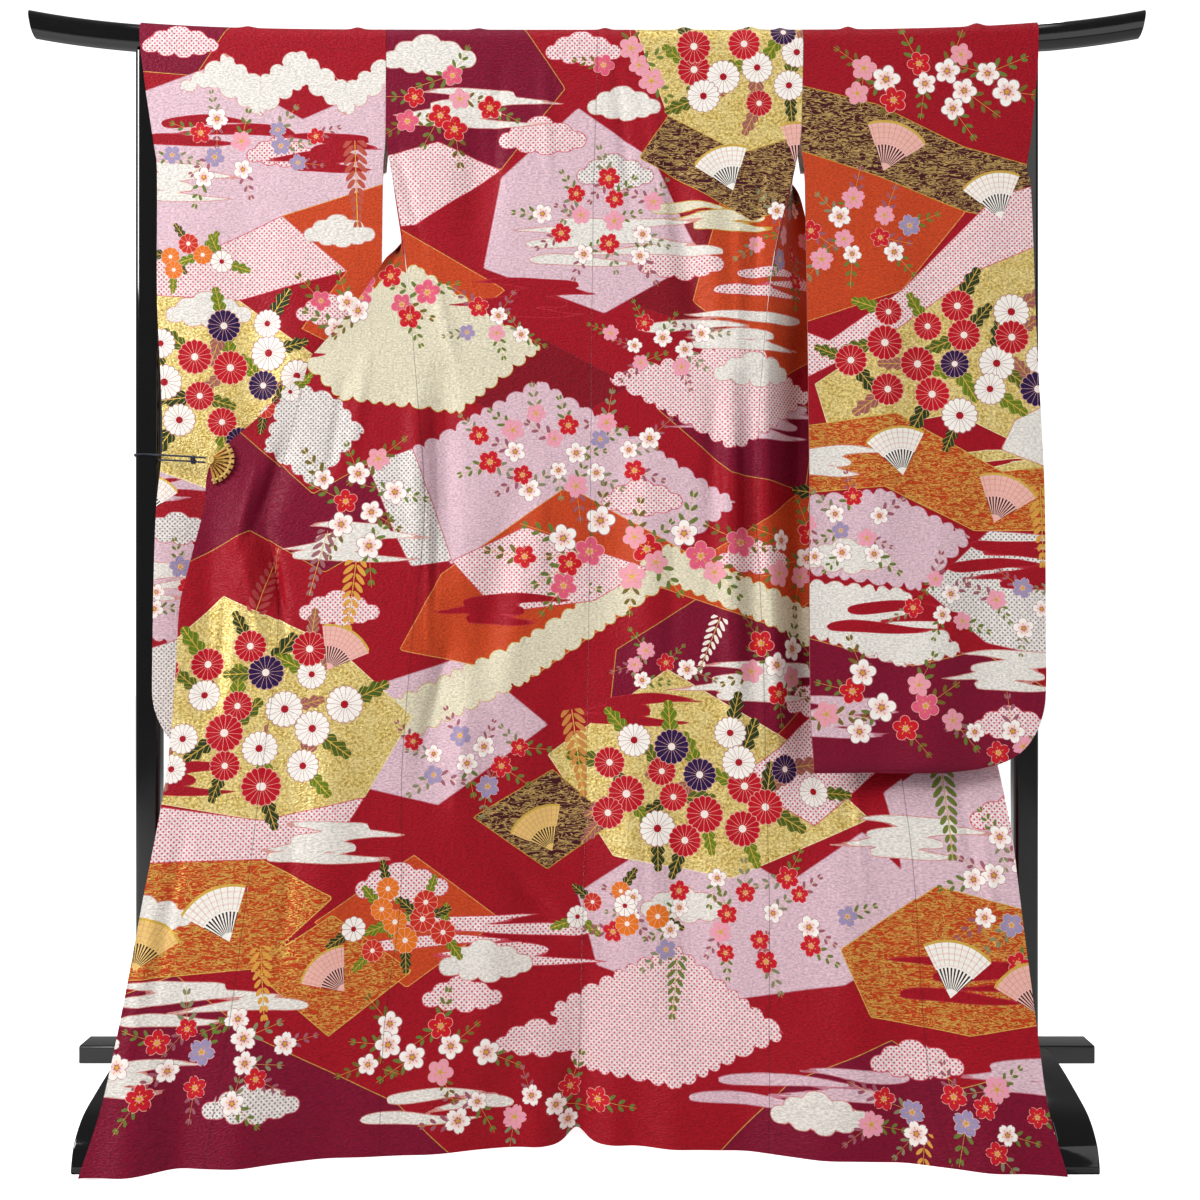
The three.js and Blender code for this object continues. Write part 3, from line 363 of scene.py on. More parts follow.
def spaced(width, spacing=GRID, edge=EDGE_STEPS):
    """Shares across a width, even in the middle and closer at both ends."""
    near = np.array(edge) / width
    inner = np.linspace(near[-1], 1 - near[-1], max(2, int(width / spacing)))
    return np.concatenate([near[:-1], inner, 1 - near[:-1][::-1]])


def fall_levels():
    """Heights of the rows that every panel shares, from the bar to the hem."""
    body = np.arange(BAR.level - 3, HEM_LIFT + EDGE_STEPS[-1], -GRID)
    return np.concatenate([body, HEM_LIFT + np.array(EDGE_STEPS[::-1])])


LEVELS = fall_levels()


def unit(vectors):
    return vectors / np.maximum(np.linalg.norm(vectors, axis=-1, keepdims=True), 1e-9)


def normals_of(grid, ring=False, crested=False):
    """The cross product of the way down and the way across, squared up at sewn edges."""
    if ring:
        down = np.roll(grid, -1, 0) - np.roll(grid, 1, 0)
    else:
        padded = np.concatenate([grid[:1], grid, grid[-1:]])
        down = padded[2:] - padded[:-2]
    padded = np.concatenate([grid[:, :1], grid, grid[:, -1:]], 1)
    across = padded[:, 2:] - padded[:, :-2]
    normal = unit(np.cross(down, across))
    for j in (0, -1):
        facing = np.abs(normal[:, j, 1]) > SQUARE
        normal[facing, j, 0] = 0
    if crested:
        normal[0] = (0, 0, 1) * np.sign(normal[0, :, 2:])
    return unit(normal)


def flat_lengths(grid):
    """Distances along the rows and down the columns of the cloth, in metres of flat cloth."""
    across = np.linalg.norm(np.diff(grid, axis=1), axis=-1).mean(0)
    down = np.linalg.norm(np.diff(grid, axis=0), axis=-1).mean(1)
    u = np.concatenate([[0], np.cumsum(across)]) * MM
    v = np.concatenate([[0], np.cumsum(down)]) * MM
    return np.broadcast_to(u, grid.shape[:2]), np.broadcast_to(v[:, None], grid.shape[:2])


def fresh(name):
    old = bpy.data.objects.get(name)
    if old is not None and "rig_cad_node" not in old:
        bpy.data.objects.remove(old)


def put(name, vertices, faces, materials, index=None, smoothed=True):
    """A mesh object at the origin, with its vertices given in mm from the stand's plane."""
    fresh(name)
    mesh = bpy.data.meshes.new(name)
    place = np.asarray(vertices, float).reshape(-1, 3) * MM
    place[:, 1] += STAND_Y
    mesh.from_pydata(place, [], np.asarray(faces).tolist() if isinstance(faces, np.ndarray) else faces)
    for material in materials:
        mesh.materials.append(material)
    if index is not None:
        mesh.polygons.foreach_set("material_index", index)
    mesh.polygons.foreach_set("use_smooth", np.full(len(mesh.polygons), smoothed))
    mesh.update()
    obj = bpy.data.objects.new(name, mesh)
    bpy.context.scene.collection.objects.link(obj)
    return obj


def ride(obj, slot, *nodes):
    """obj rides on the part's one body and stands for the nodes. The slot is not used."""
    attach(obj, "root")
    if nodes:
        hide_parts(*nodes)
    return obj


def wall_faces(rows, columns, ring):
    """Quads of both faces and the rims, and which of the three each one is."""
    count = rows * columns
    last = rows if ring else rows - 1
    i, j = (part.ravel() for part in np.meshgrid(np.arange(last), np.arange(columns - 1), indexing="ij"))
    a, b = i * columns + j, (i + 1) % rows * columns + j
    outer = np.stack([a, b, b + 1, a + 1], 1)
    inner = np.stack([a, a + 1, b + 1, b], 1) + count
    k = np.arange(last) * columns
    k2 = (np.arange(last) + 1) % rows * columns
    e = columns - 1
    rims = [
        np.stack([k, k + count, k2 + count, k2], 1),
        np.stack([k + e, k2 + e, k2 + e + count, k + e + count], 1),
    ]
    if not ring:
        m = np.arange(columns - 1)
        low = m + (rows - 1) * columns
        rims.append(np.stack([m, m + 1, m + 1 + count, m + count], 1))
        rims.append(np.stack([low, low + count, low + 1 + count, low + 1], 1))
    rims = np.concatenate(rims)
    kinds = np.repeat([0, 1, 2], [len(outer), len(inner), len(rims)])
    return np.concatenate([outer, inner, rims]), kinds


def signed_volume(points, faces):
    """Six times the volume inside a quad mesh, positive when its faces point outwards."""
    a, b, c, d = (points[faces[:, k]] for k in range(4))
    return np.einsum("ij,ij->", a, np.cross(b, c)) + np.einsum("ij,ij->", a, np.cross(c, d))


def wall(name, grid, outer, materials, ring=False, crested=False):
    """A closed wall of cloth: the grid's points moved half the wall's thickness both ways.

    outer is 1 where the cloth's right side lies along the grid's normals and -1 where it lies
    against them, so that face 0 is always the right side.
    """
    half = bpy.context.scene.kimono_cloth.thickness / MM / 2
    normal = normals_of(grid, ring, crested) * outer
    points = np.concatenate([grid + normal * half, grid - normal * half]).reshape(-1, 3)
    faces, kinds = wall_faces(grid.shape[0], grid.shape[1], ring)
    if signed_volume(points, faces) < 0:
        faces = faces[:, ::-1].copy()
    obj = put(name, points, faces, materials, kinds)
    obj.data.set_sharp_from_angle(angle=SHARP)
    u, v = flat_lengths(grid)
    flat = np.stack([np.tile(u.ravel(), 2), np.tile(v.ravel(), 2)], 1)
    obj.data.uv_layers.new(name="flat_cloth").data.foreach_set("uv", flat[faces].ravel())
    return obj, faces[kinds == 0]


# ---- Panels ----


def crown(xs_at, shares, sign):
    """Rows over the bar's round top, a quarter turn down from the crest."""
    turn = np.linspace(0, np.pi / 2, TURN_ROWS)
    x = xs_at(BAR.level, shares)
    rows = over_bar(x[None, :], turn[:, None], sign)
    rows[0, :, 1] += sign * SEAM / 2
    return rows


def back_grid(first, second, shares):
    """The back between two seam lines: straight across between them, at the cloth's depth."""
    (left, left_gap), (right, right_gap) = first, second

    def across(z, u):
        return mix(SECTION[left](z) + left_gap, SECTION[right](z) + right_gap, u)

    x = across(LEVELS[:, None], shares[None, :])
    z = LEVELS[:, None]
    fall = points_at(x, cloth_depth(x, z), drawn_up(x, z))
    return np.concatenate([crown(across, shares, -1), fall])


def front_edge(side, edge, level):
    """Points of a front's edge by armhole height, and how deep the gather to them is: the table
    above the spread, and the overlap's seam below it."""
    level = np.asarray(level, float)
    x, y, z, gather = (
        column(edge, EDGE_KEYS, key, "armhole")(level) for key in ("x", "y", "z", "gather")
    )
    last_z = edge[-1][3]
    low = mix(HEM_LIFT, last_z, (level - HEM_LIFT) / (SPREAD_FROM - HEM_LIFT))
    seam = section_line("okumi", side)(low) - side * SEAM / 2
    table, spread = points_at(x, y, z), points_at(seam, cloth_depth(seam, low), low)
    above = level > SPREAD_FROM
    return np.where(above[..., None], table, spread), np.where(above, gather, 0)


def front_grid(side, edge, shares):
    """The front from the shoulder on the far side, turned through the slit and spread beside the
    back: lines from the side seam to the edge, bowed by the gather, settling to the cloth's depth."""
    side_line = section_line("side", side)

    def top(z, u):
        return mix(side_line(z) + side * SEAM, side * NECK_HALF, u)

    turning = np.sin(np.pi * clamp01((TURNED.start - LEVELS) / (TURNED.start - TURNED.stop)))
    x = side_line(LEVELS) + side * (SEAM + TURNED.room * turning)
    swing = smooth((BAR.level - LEVELS) / (BAR.level - SLIT_FOOT))
    a = np.stack([x, mix(CREST, cloth_depth(x, LEVELS), swing), LEVELS], -1)
    b, gather = front_edge(side, edge, LEVELS)
    u = shares[None, :, None]
    fall = a[:, None] * (1 - u) + b[:, None] * u
    fall[..., 1] += gather[:, None] * np.sin(np.pi * shares)
    start, stop = edge[-3][0], edge[-1][0]
    settled = smooth((start - LEVELS) / (start - stop))[:, None]
    fall[..., 1] = mix(fall[..., 1], cloth_depth(fall[..., 0], fall[..., 2]), settled)
    return np.concatenate([crown(top, shares, 1), fall])


def okumi_grid(side, edge, shares):
    """The overlap beside the front's seam, from a small tip to its full width and then to the hem."""
    outer_line = section_line("outer", side)
    levels = LEVELS[LEVELS < TIP.level]
    seam, _ = front_edge(side, edge, levels)
    full, _ = front_edge(side, edge, np.array([TIP.row]))
    inner = seam[:, 0] + side * SEAM
    outer = outer_line(seam[:, 2])
    grown = clamp01((TIP.level - levels) / (TIP.level - TIP.row))
    narrow = mix(inner + side * TIP.width, outer_line(full[0, 2]), grown)
    outer = np.where(levels > TIP.row, narrow, outer)
    x = mix(inner[:, None], outer[:, None], shares[None, :])
    return points_at(x, cloth_depth(x, seam[:, 2:]), seam[:, 2:])


def collar_across(x, start, way, shares):
    """One cross line of the collar: over the bar's round top from a start turn, then straight on."""
    far = shares * COLLAR_WIDTH
    arc = CREST * (np.pi / 2 - start)
    line = over_bar(np.full_like(far, x), np.minimum(np.pi / 2, start + far / CREST), 1)
    line[:, 1] += COLLAR_LOOSE
    return line + np.maximum(0, far - arc)[:, None] * way


def refined(grid, count):
    """Extra rows between the grid's own by Catmull-Rom curves through them."""
    padded = np.concatenate([grid[:1], grid, grid[-1:]])
    t = np.linspace(0, 1, count, endpoint=False)[None, :, None, None]
    a, b, c, d = (padded[k : len(padded) - 3 + k, None] for k in range(4))
    rows = 0.5 * (
        2 * b + (c - a) * t + (2 * a - 5 * b + 4 * c - d) * t**2 + (3 * b - a - 3 * c + d) * t**3
    )
    return np.concatenate([rows.reshape(-1, *grid.shape[1:]), grid[-1:]])


def collar_neck_grid(shares):
    """The collar's laid-out stretch: down one front edge behind the body, along the neck and down
    the other edge."""

    def upper(side, edge):
        ways = [unit(np.array(row[5:8])) for row in edge if len(row) > 5]
        lines = [
            collar_across(side * (NECK_HALF - mix(*NECK_INSET, t)), t * np.pi / 2, ways[0], shares)
            for t in TURN_STOPS
        ]
        for row, way in list(zip(edge, ways))[1:]:
            off = COLLAR_CLEAR + shares * row[8] * COLLAR_WIDTH
            lines.append(np.array(row[1:4]) + off[:, None] * way)
        return lines

    down = np.array([0, 0, -1.0])
    neck = [collar_across(t * NECK_HALF, NECK_TURN, down, shares) for t in NECK_STOPS]
    lines = upper(1, RIGHT_EDGE)[::-1] + neck + upper(-1, LEFT_EDGE)
    return refined(np.array(lines), COLLAR_ROWS)


def collar_low_grid(side, shares):
    """The collar's lower length, turned under the spread front's edge."""
    z = np.arange(COLLAR_LOW.top, COLLAR_LOW.foot - 0.1, -GRID)[:, None]
    low = z - shares[None, :] * COLLAR_LOW.slope
    inset = COLLAR_LOW.start + shares[None, :] * COLLAR_WIDTH
    x = section_line("outer", side)(z) - side * inset
    off = mix(COLLAR_LOW.near, COLLAR_LOW.off, np.minimum(1, 2 * shares))[None, :]
    return points_at(x, cloth_depth(x, low) + off, low)


def sleeve_grid(sleeve, shares):
    """A flattened tube over the bar: the near wall up, half a turn over the bar, the far wall down.
    Both walls meet in a soft pinch at the outer edge and a rounded corner at the bottom."""
    side, rows, cuff = sleeve["side"], sleeve["rows"], sleeve["cuff"]
    opening, outer = (column(rows, SLEEVE_KEYS, key) for key in ("inner", "outer"))
    side_line = section_line("side", side)
    bottom = rows[-1][0]

    def inner(z):
        sewn = np.abs(side_line(z)) + SEAM + SLEEVE.seam
        return np.maximum(opening(z), np.where(z > SEWN_TO, sewn, 0))

    def near(z):
        drop = clamp01((BAR.level - z) / (BAR.level - bottom))
        return -CREST - sleeve["lean"] * drop ** HANG.power

    def thick(z):
        filled = smooth((z - bottom) / SLEEVE.fill) ** SLEEVE.power
        return mix(SLEEVE.bottom, SLEEVE.full, filled)

    def near_wall(z, u):
        x = mix(inner(z), outer(z), u)
        low = smooth((BAR.level - z) / WAVES_GROW)
        wave = low * sum(high * np.sin(x / wide + z / tall) for high, wide, tall in SLEEVE_WAVES)
        return x, near(z) - wave * np.sin(np.pi * u)

    fall = np.arange(BAR.level - SLEEVE.even, bottom + SLEEVE.even, -GRID)
    levels = np.concatenate([fall, bottom + np.array(SLEEVE_FOOT)])
    z, u = levels[:, None], shares[None, :]
    x, y = near_wall(z, u)
    near_rows = points_at(side * x, y, z)

    drawn_in = smooth((z - cuff + CUFF.draw) / CUFF.blend) if side > 0 else 1
    opened = smooth((z - cuff + CUFF.open) / CUFF.blend)
    back = smooth((z - cuff - SLEEVE.clear) / SLEEVE.clear)
    held = mix(np.minimum(outer(z), SLEEVE.inset), outer(z), back)
    edge = mix(outer(z), held, drawn_in)
    fx = mix(inner(z), edge, u)
    lapped = smooth((fx - inner(z) + SLEEVE.lap) / SLEEVE.meet)
    closed = mix(1, lapped, smooth((SEWN_TO - z) / SLEEVE.meet))
    flat = smooth((edge - fx) / SLEEVE.pinch) * closed
    _, along = near_wall(z, (fx - inner(z)) / (outer(z) - inner(z)))
    fy = mix(along + mix(SLEEVE.edge, thick(z), flat), CREST, opened)
    far_rows = points_at(side * fx, np.minimum(fy, CREST), z)

    turn = np.linspace(-np.pi / 2, np.pi / 2, 2 * TURN_ROWS)
    top_x = side * mix(inner(BAR.level), outer(BAR.level), shares)
    arc = over_bar(top_x[None, :], turn[:, None], 1)
    return np.concatenate([near_rows[::-1], arc, far_rows])


# ---- The painted design: fields of colour, then blossoms, leaves and fans laid on them ----

FINISHES = (
    "wine", "crimson", "lilac", "orange", "cream", "gold",
    "dark_brocade", "orange_brocade", "pink_dots", "grey_dots", "white", "red_mist",
)  # painted in this order over the red ground

# The design, in the plane of the spread garment. Each layout has
# fields with plain or scalloped edges: finish, and x and z of each corner in turn,
# banks of mist by finish: middle x and z, length, how many tapering bars lie on each other,
# banks of cloud by finish: middle x and z, length, height,
# clusters of blossoms: kind, middle x and z, half width and height, how many, radius of one,
# sprays that hang: x and z of their head, length, which way they hang in degrees, pairs, colour,
# fans: x and z of the middle, half size, turn in degrees, colour.
BODY = {
    "plain": [
        ("wine", -480, 1510, -96, 1510, -30, 1412, -118, 1300, -205, 1338, -480, 1262),
        ("wine", 40, 640, 170, 722, 330, 640, 490, 730, 590, 640, 430, 520, 300, 560, 170, 470, 30,
         548),
        ("wine", -680, -20, -680, 176, -520, 232, -418, 152, -350, 118, -242, 66, -150, -20),
        ("wine", 150, -20, 262, 92, 392, 148, 470, 96, 680, 168, 680, -20),
        ("wine", -470, 935, -372, 850, -300, 892, -236, 812, -352, 744, -452, 800, -560, 742, -600,
         860),
        ("wine", 96, 968, 212, 1044, 336, 968, 316, 858, 196, 880),
        ("crimson", -10, 1330, 110, 1250, 240, 1190, 212, 1062, 70, 1110, -80, 1180),
        ("crimson", -200, 1000, -60, 1064, 60, 1000, -60, 930),
        ("lilac", -118, 1288, -12, 1385, 92, 1312, 158, 1176, 24, 1100, -142, 1162),
        ("lilac", -600, 596, -424, 676, -292, 590, -162, 632, -52, 540, -196, 436, -382, 482),
        ("lilac", -12, 318, 132, 414, 262, 336, 362, 404, 472, 298, 334, 214, 152, 182, 14, 226),
        ("lilac", 396, 452, 560, 560, 680, 500, 680, 196, 520, 176, 420, 300),
        ("orange", 196, 1300, 300, 1340, 430, 1290, 430, 1086, 272, 1010, 146, 1118),
        ("orange", -196, 742, -26, 862, 152, 762, 330, 868, 452, 790, 262, 668, 100, 724, -72, 604,
         -250, 640),
        ("orange", -450, 1120, -256, 1216, -112, 1132, -232, 1040),
        ("orange", -352, 292, -226, 372, -112, 288, -232, 206),
        ("gold", 58, 1520, 430, 1520, 430, 1388, 212, 1322, 112, 1374),
        ("gold", -640, 560, -484, 712, -336, 646, -232, 552, -292, 448, -424, 420, -600, 452),
        ("gold", -52, 500, 108, 614, 272, 518, 372, 420, 190, 342, 36, 368),
        ("gold", 352, 984, 480, 930, 480, 784, 380, 752, 318, 830),
        ("dark_brocade", 112, 1374, 212, 1322, 430, 1388, 430, 1296, 226, 1228, 72, 1316),
        ("dark_brocade", -150, 420, -46, 480, 38, 412, -52, 350),
        ("orange_brocade", -680, 330, -486, 402, -330, 322, -424, 236, -600, 226),
        ("orange_brocade", -430, 236, -330, 300, -226, 226, -330, 150),
        ("orange_brocade", 330, 258, 452, 338, 680, 282, 680, 196, 484, 158, 366, 176),
        ("pink_dots", -480, 1262, -205, 1338, -118, 1300, -236, 1222, -480, 1196),
        ("pink_dots", -640, 452, -424, 420, -292, 448, -340, 372, -640, 368),
        ("pink_dots", -182, 760, -84, 806, 84, 750, 10, 706, -120, 690),
        ("pink_dots", 196, 470, 330, 560, 420, 500, 300, 410),
        ("grey_dots", 420, 660, 560, 742, 680, 640, 680, 480, 520, 520),
        ("grey_dots", -300, 892, -236, 912, -182, 760, -236, 752, -262, 800),
    ],
    "scalloped": [
        ("lilac", -236, 906, -66, 1002, 92, 908, 196, 838, 84, 750, -84, 806, -182, 760),
        ("cream", -420, 1070, -236, 1160, -70, 1052, -176, 968, -336, 986),
        ("cream", -262, 566, -90, 646, 112, 776, 330, 684, 470, 750, 470, 716, 336, 640, 112, 736, -84,
         602, -240, 526),
        ("pink_dots", 36, 1010, 212, 1058, 326, 990, 200, 916),
        ("pink_dots", -42, 170, 112, 250, 252, 150, 120, 82, -10, 100),
        ("grey_dots", -410, 1000, -346, 980, -310, 936, -372, 866, -430, 912),
    ],
    "mist": {
        "white": [
            (-150, 1392, 190, 4), (30, 1206, 230, 5), (190, 1082, 170, 4), (-330, 792, 160, 4),
            (250, 604, 220, 4), (-480, 204, 200, 4), (440, 404, 170, 4), (560, 560, 160, 4),
            (-340, 398, 160, 4), (-180, 66, 160, 3), (-560, 118, 130, 3),
        ],
        "red_mist": [
            (-60, 1128, 170, 4), (-430, 1064, 130, 3), (60, 566, 150, 3), (520, 230, 200, 4),
            (-540, 480, 150, 3), (-130, 700, 150, 3), (440, 520, 150, 3),
        ],
        "pink_dots": [(-120, 268, 230, 5), (300, 1150, 170, 3)],
        "cream": [(180, 1240, 140, 3)],
        "wine": [(-20, 772, 160, 4)],
        "lilac": [(300, 92, 200, 4), (250, 960, 180, 4), (-560, 380, 150, 3), (560, 120, 160, 3)],
    },
    "clouds": {
        "white": [
            (-216, 1452, 120, 40), (52, 1386, 92, 34), (232, 1016, 110, 34), (130, 300, 110, 34),
            (-130, 230, 112, 38), (300, 52, 120, 36), (-560, 300, 110, 34),
        ],
        "pink_dots": [
            (-60, 1340, 112, 38), (-4, 1462, 96, 34), (130, 1166, 110, 36), (-330, 690, 100, 34),
            (336, 566, 120, 38), (-240, 330, 112, 38), (-60, 130, 110, 34), (560, 420, 110, 36),
            (76, 840, 100, 36), (-160, 190, 96, 32), (230, 760, 100, 34), (420, 120, 104, 34),
        ],
        "grey_dots": [(500, 620, 110, 34), (-420, 70, 110, 34), (40, 1290, 96, 36)],
    },
    "clusters": [
        ("kiku", 262, 1436, 156, 60, 14, 23), ("kiku", -452, 558, 150, 108, 20, 24),
        ("kiku", 150, 462, 164, 80, 18, 24), ("kiku", 402, 868, 66, 84, 9, 23),
        ("plum", 52, 770, 170, 50, 14, 20), ("plum", 330, 770, 80, 52, 9, 19),
        ("plum", -290, 1120, 100, 36, 8, 18), ("plum", 60, 1440, 60, 30, 4, 18),
        ("cherry", 20, 1226, 96, 60, 12, 16), ("cherry", -30, 908, 130, 60, 18, 16),
        ("cherry", 190, 290, 170, 60, 20, 15), ("cherry", 560, 330, 70, 100, 14, 16),
        ("cherry", -490, 128, 130, 56, 14, 17), ("cherry", 470, 62, 130, 44, 12, 16),
        ("cherry", -60, 52, 120, 28, 8, 16), ("plum", -210, 128, 90, 40, 8, 17),
        ("cherry", 300, 1210, 70, 70, 9, 15), ("plum", -310, 840, 66, 66, 8, 18),
        ("cherry", -160, 500, 90, 44, 9, 15), ("plum", 270, 620, 90, 40, 8, 17),
        ("small_kiku", -240, 290, 76, 44, 9, 17), ("small_kiku", 36, 300, 60, 30, 6, 15),
        ("cherry", 560, 600, 70, 56, 8, 15), ("cherry", 96, 1062, 76, 40, 8, 14),
        ("plum", -200, 1390, 66, 50, 7, 18), ("small_kiku", -430, 980, 44, 30, 4, 15),
        ("cherry", 96, 620, 60, 26, 5, 14), ("cherry", -130, 1080, 50, 30, 5, 14),
    ],
    "sprays": [
        (250, 700, 112, -84, 10, "D08A3A"), (292, 690, 136, -92, 12, "D08A3A"),
        (210, 690, 104, -100, 10, "73803A"), (180, 684, 80, -112, 8, "F0E6DC"),
        (-20, 560, 116, -82, 10, "C98A4A"), (22, 572, 98, -96, 9, "D8C9A0"),
        (-60, 556, 90, -104, 8, "73803A"), (-120, 1010, 90, -70, 8, "D8C9A0"),
        (-310, 760, 106, -96, 9, "D8A24A"), (-270, 780, 130, -86, 11, "F0E6DC"),
        (-350, 800, 90, -104, 8, "A0696E"), (470, 480, 110, -88, 9, "73803A"),
        (520, 470, 120, -94, 10, "8A7A3A"), (60, 1240, 90, -80, 8, "73803A"),
        (330, 1180, 110, -92, 9, "D8A24A"), (284, 1176, 90, -82, 8, "E8C07A"),
        (-420, 262, 90, -84, 8, "D8A24A"), (120, 240, 80, -96, 7, "73803A"),
        (540, 150, 100, -86, 9, "D8A24A"), (430, 40, 60, -94, 5, "D8A24A"),
        (-560, 210, 90, -80, 8, "A0696E"), (-100, 880, 90, 96, 8, "73803A"),
        (-40, 940, 100, 84, 9, "8A9462"), (60, 880, 90, 70, 8, "73803A"),
        (220, 296, 90, 84, 8, "73803A"), (260, 280, 80, 66, 7, "8A9462"),
        (560, 340, 100, 84, 9, "73803A"), (520, 300, 90, 100, 8, "8A9462"),
        (410, 700, 100, -88, 9, "D8A24A"), (-440, 690, 90, 74, 8, "B04848"),
        (20, 1180, 84, 64, 8, "73803A"), (140, 560, 80, 20, 7, "B85A4A"),
    ],
    "fans": [
        (190, 1300, 40, 20, "F4EFE8"), (300, 1330, 42, -18, "E9B7AE"), (-470, 302, 44, 24, "F4EFE8"),
        (-560, 268, 40, -20, "E6C27A"), (470, 236, 44, -12, "F4EFE8"), (560, 214, 40, 22, "E9B7AE"),
        (-330, 640, 38, -30, "E9B7AE"), (398, 1000, 38, 16, "F4EFE8"), (-60, 400, 38, 28, "E6C27A"),
        (-330, 226, 36, 40, "E9B7AE"),
    ],
}
SLEEVE_LEFT = {
    "plain": [
        ("wine", -660, 1520, -480, 1520, -540, 1430, -660, 1440),
        ("lilac", -660, 1390, -520, 1442, -392, 1370, -250, 1432, -250, 1200, -420, 1236, -560, 1170,
         -660, 1220),
        ("crimson", -470, 1240, -392, 1300, -320, 1240, -392, 1190),
        ("orange", -420, 1236, -250, 1290, -250, 1010, -392, 1080, -330, 1160),
        ("pink_dots", -660, 1220, -560, 1170, -420, 1236, -330, 1160, -480, 1120, -660, 1130),
        ("gold", -660, 1130, -480, 1120, -330, 1010, -392, 900, -520, 860, -660, 910),
        ("wine", -392, 900, -330, 1010, -250, 960, -250, 800, -480, 780),
        ("grey_dots", -660, 620, -540, 660, -400, 560, -400, 470, -660, 470),
    ],
    "scalloped": [
        ("white", -560, 1412, -500, 1454, -450, 1420, -400, 1462, -330, 1412, -250, 1472, -250, 1442,
         -330, 1382, -392, 1422, -450, 1380, -520, 1422),
        ("lilac", -660, 810, -480, 770, -430, 690, -560, 650, -660, 680),
    ],
    "mist": {
        "white": [(-560, 1290, 160, 4), (-580, 740, 140, 4), (-330, 860, 120, 3)],
        "red_mist": [(-350, 1330, 140, 4), (-500, 1360, 150, 3)],
        "lilac": [(-580, 870, 120, 3)],
    },
    "clouds": {
        "white": [(-520, 1100, 110, 36), (-340, 1210, 90, 32)],
        "pink_dots": [(-350, 1100, 90, 32), (-560, 1472, 100, 32), (-420, 1320, 90, 30)],
        "grey_dots": [(-560, 800, 96, 32)],
    },
    "clusters": [
        ("cherry", -480, 1330, 120, 50, 11, 15), ("kiku", -500, 1008, 124, 96, 15, 24),
        ("plum", -330, 1080, 50, 66, 6, 18), ("cherry", -340, 900, 56, 60, 7, 15),
        ("cherry", -560, 720, 70, 50, 8, 15), ("small_kiku", -540, 1180, 60, 26, 5, 16),
    ],
    "sprays": [
        (-540, 1300, 116, -84, 10, "C0392B"), (-500, 1290, 140, -92, 12, "73803A"),
        (-400, 1330, 130, -86, 11, "D8A24A"), (-360, 1320, 110, -94, 10, "C98A4A"),
        (-320, 1340, 120, -88, 10, "B85A4A"), (-580, 760, 100, -84, 9, "73803A"),
    ],
    "fans": [
        (-330, 950, 38, 12, "E9B7AE"), (-600, 850, 36, -18, "F4EFE8"),
    ],
}
SLEEVE_RIGHT = {
    "plain": [
        ("dark_brocade", 280, 1420, 400, 1390, 520, 1330, 660, 1290, 660, 1210, 520, 1240, 400, 1290,
         280, 1330),
        ("pink_dots", 660, 1290, 560, 1260, 430, 1130, 330, 1060, 280, 1080, 280, 1000, 400, 1060, 540,
         1160, 660, 1210),
        ("orange", 280, 1330, 400, 1290, 520, 1240, 430, 1130, 280, 1080),
        ("gold", 660, 1210, 540, 1160, 400, 1060, 310, 1000, 330, 930, 500, 960, 660, 880),
        ("white", 660, 990, 580, 950, 560, 910, 660, 870),
        ("orange_brocade", 280, 940, 420, 960, 560, 880, 660, 890, 660, 800, 520, 800, 400, 860, 280,
         850),
        ("grey_dots", 660, 790, 540, 800, 450, 720, 530, 650, 660, 620),
        ("wine", 280, 660, 430, 620, 520, 640, 660, 560, 660, 460, 280, 460),
    ],
    "scalloped": [
        ("lilac", 280, 840, 400, 850, 510, 790, 440, 726, 280, 750),
        ("white", 280, 730, 420, 716, 490, 640, 420, 624, 280, 670),
    ],
    "mist": {
        "gold": [(590, 900, 140, 4)],
        "red_mist": [(590, 760, 170, 5), (420, 690, 140, 3)],
        "white": [(340, 900, 120, 3), (560, 620, 150, 4)],
        "lilac": [(360, 790, 160, 4), (340, 560, 150, 4)],
    },
    "clouds": {
        "white": [(350, 760, 110, 34)],
        "pink_dots": [(560, 700, 110, 34), (560, 540, 96, 32)],
        "grey_dots": [(420, 640, 100, 34)],
    },
    "clusters": [
        ("plum", 470, 1424, 120, 46, 12, 20), ("kiku", 496, 1040, 144, 90, 17, 24),
        ("cherry", 370, 1210, 80, 54, 10, 16), ("cherry", 350, 800, 66, 50, 9, 15),
        ("plum", 400, 570, 110, 44, 9, 19), ("cherry", 560, 520, 66, 30, 6, 16),
        ("cherry", 590, 700, 50, 56, 6, 15), ("cherry", 470, 700, 50, 40, 5, 14),
    ],
    "sprays": [
        (350, 1180, 100, -88, 9, "D8C07A"), (400, 760, 90, -84, 8, "73803A"),
        (360, 560, 80, -92, 7, "8A7A3A"), (610, 860, 110, -90, 9, "D8A24A"),
        (480, 700, 110, 84, 9, "73803A"), (520, 690, 90, 70, 8, "8A9462"),
        (320, 780, 90, 96, 8, "73803A"), (560, 1400, 80, 64, 7, "B0483A"),
    ],
    "fans": [
        (420, 1330, 44, -20, "E9B7AE"), (560, 1262, 42, 14, "F4EFE8"), (420, 908, 42, 10, "F4EFE8"),
        (560, 842, 42, -22, "E9B7AE"),
    ],
}
DESIGN = {"body": BODY, "sleeve_left": SLEEVE_LEFT, "sleeve_right": SLEEVE_RIGHT}
BAR_HALF = 8.5  # half height of a bar of mist
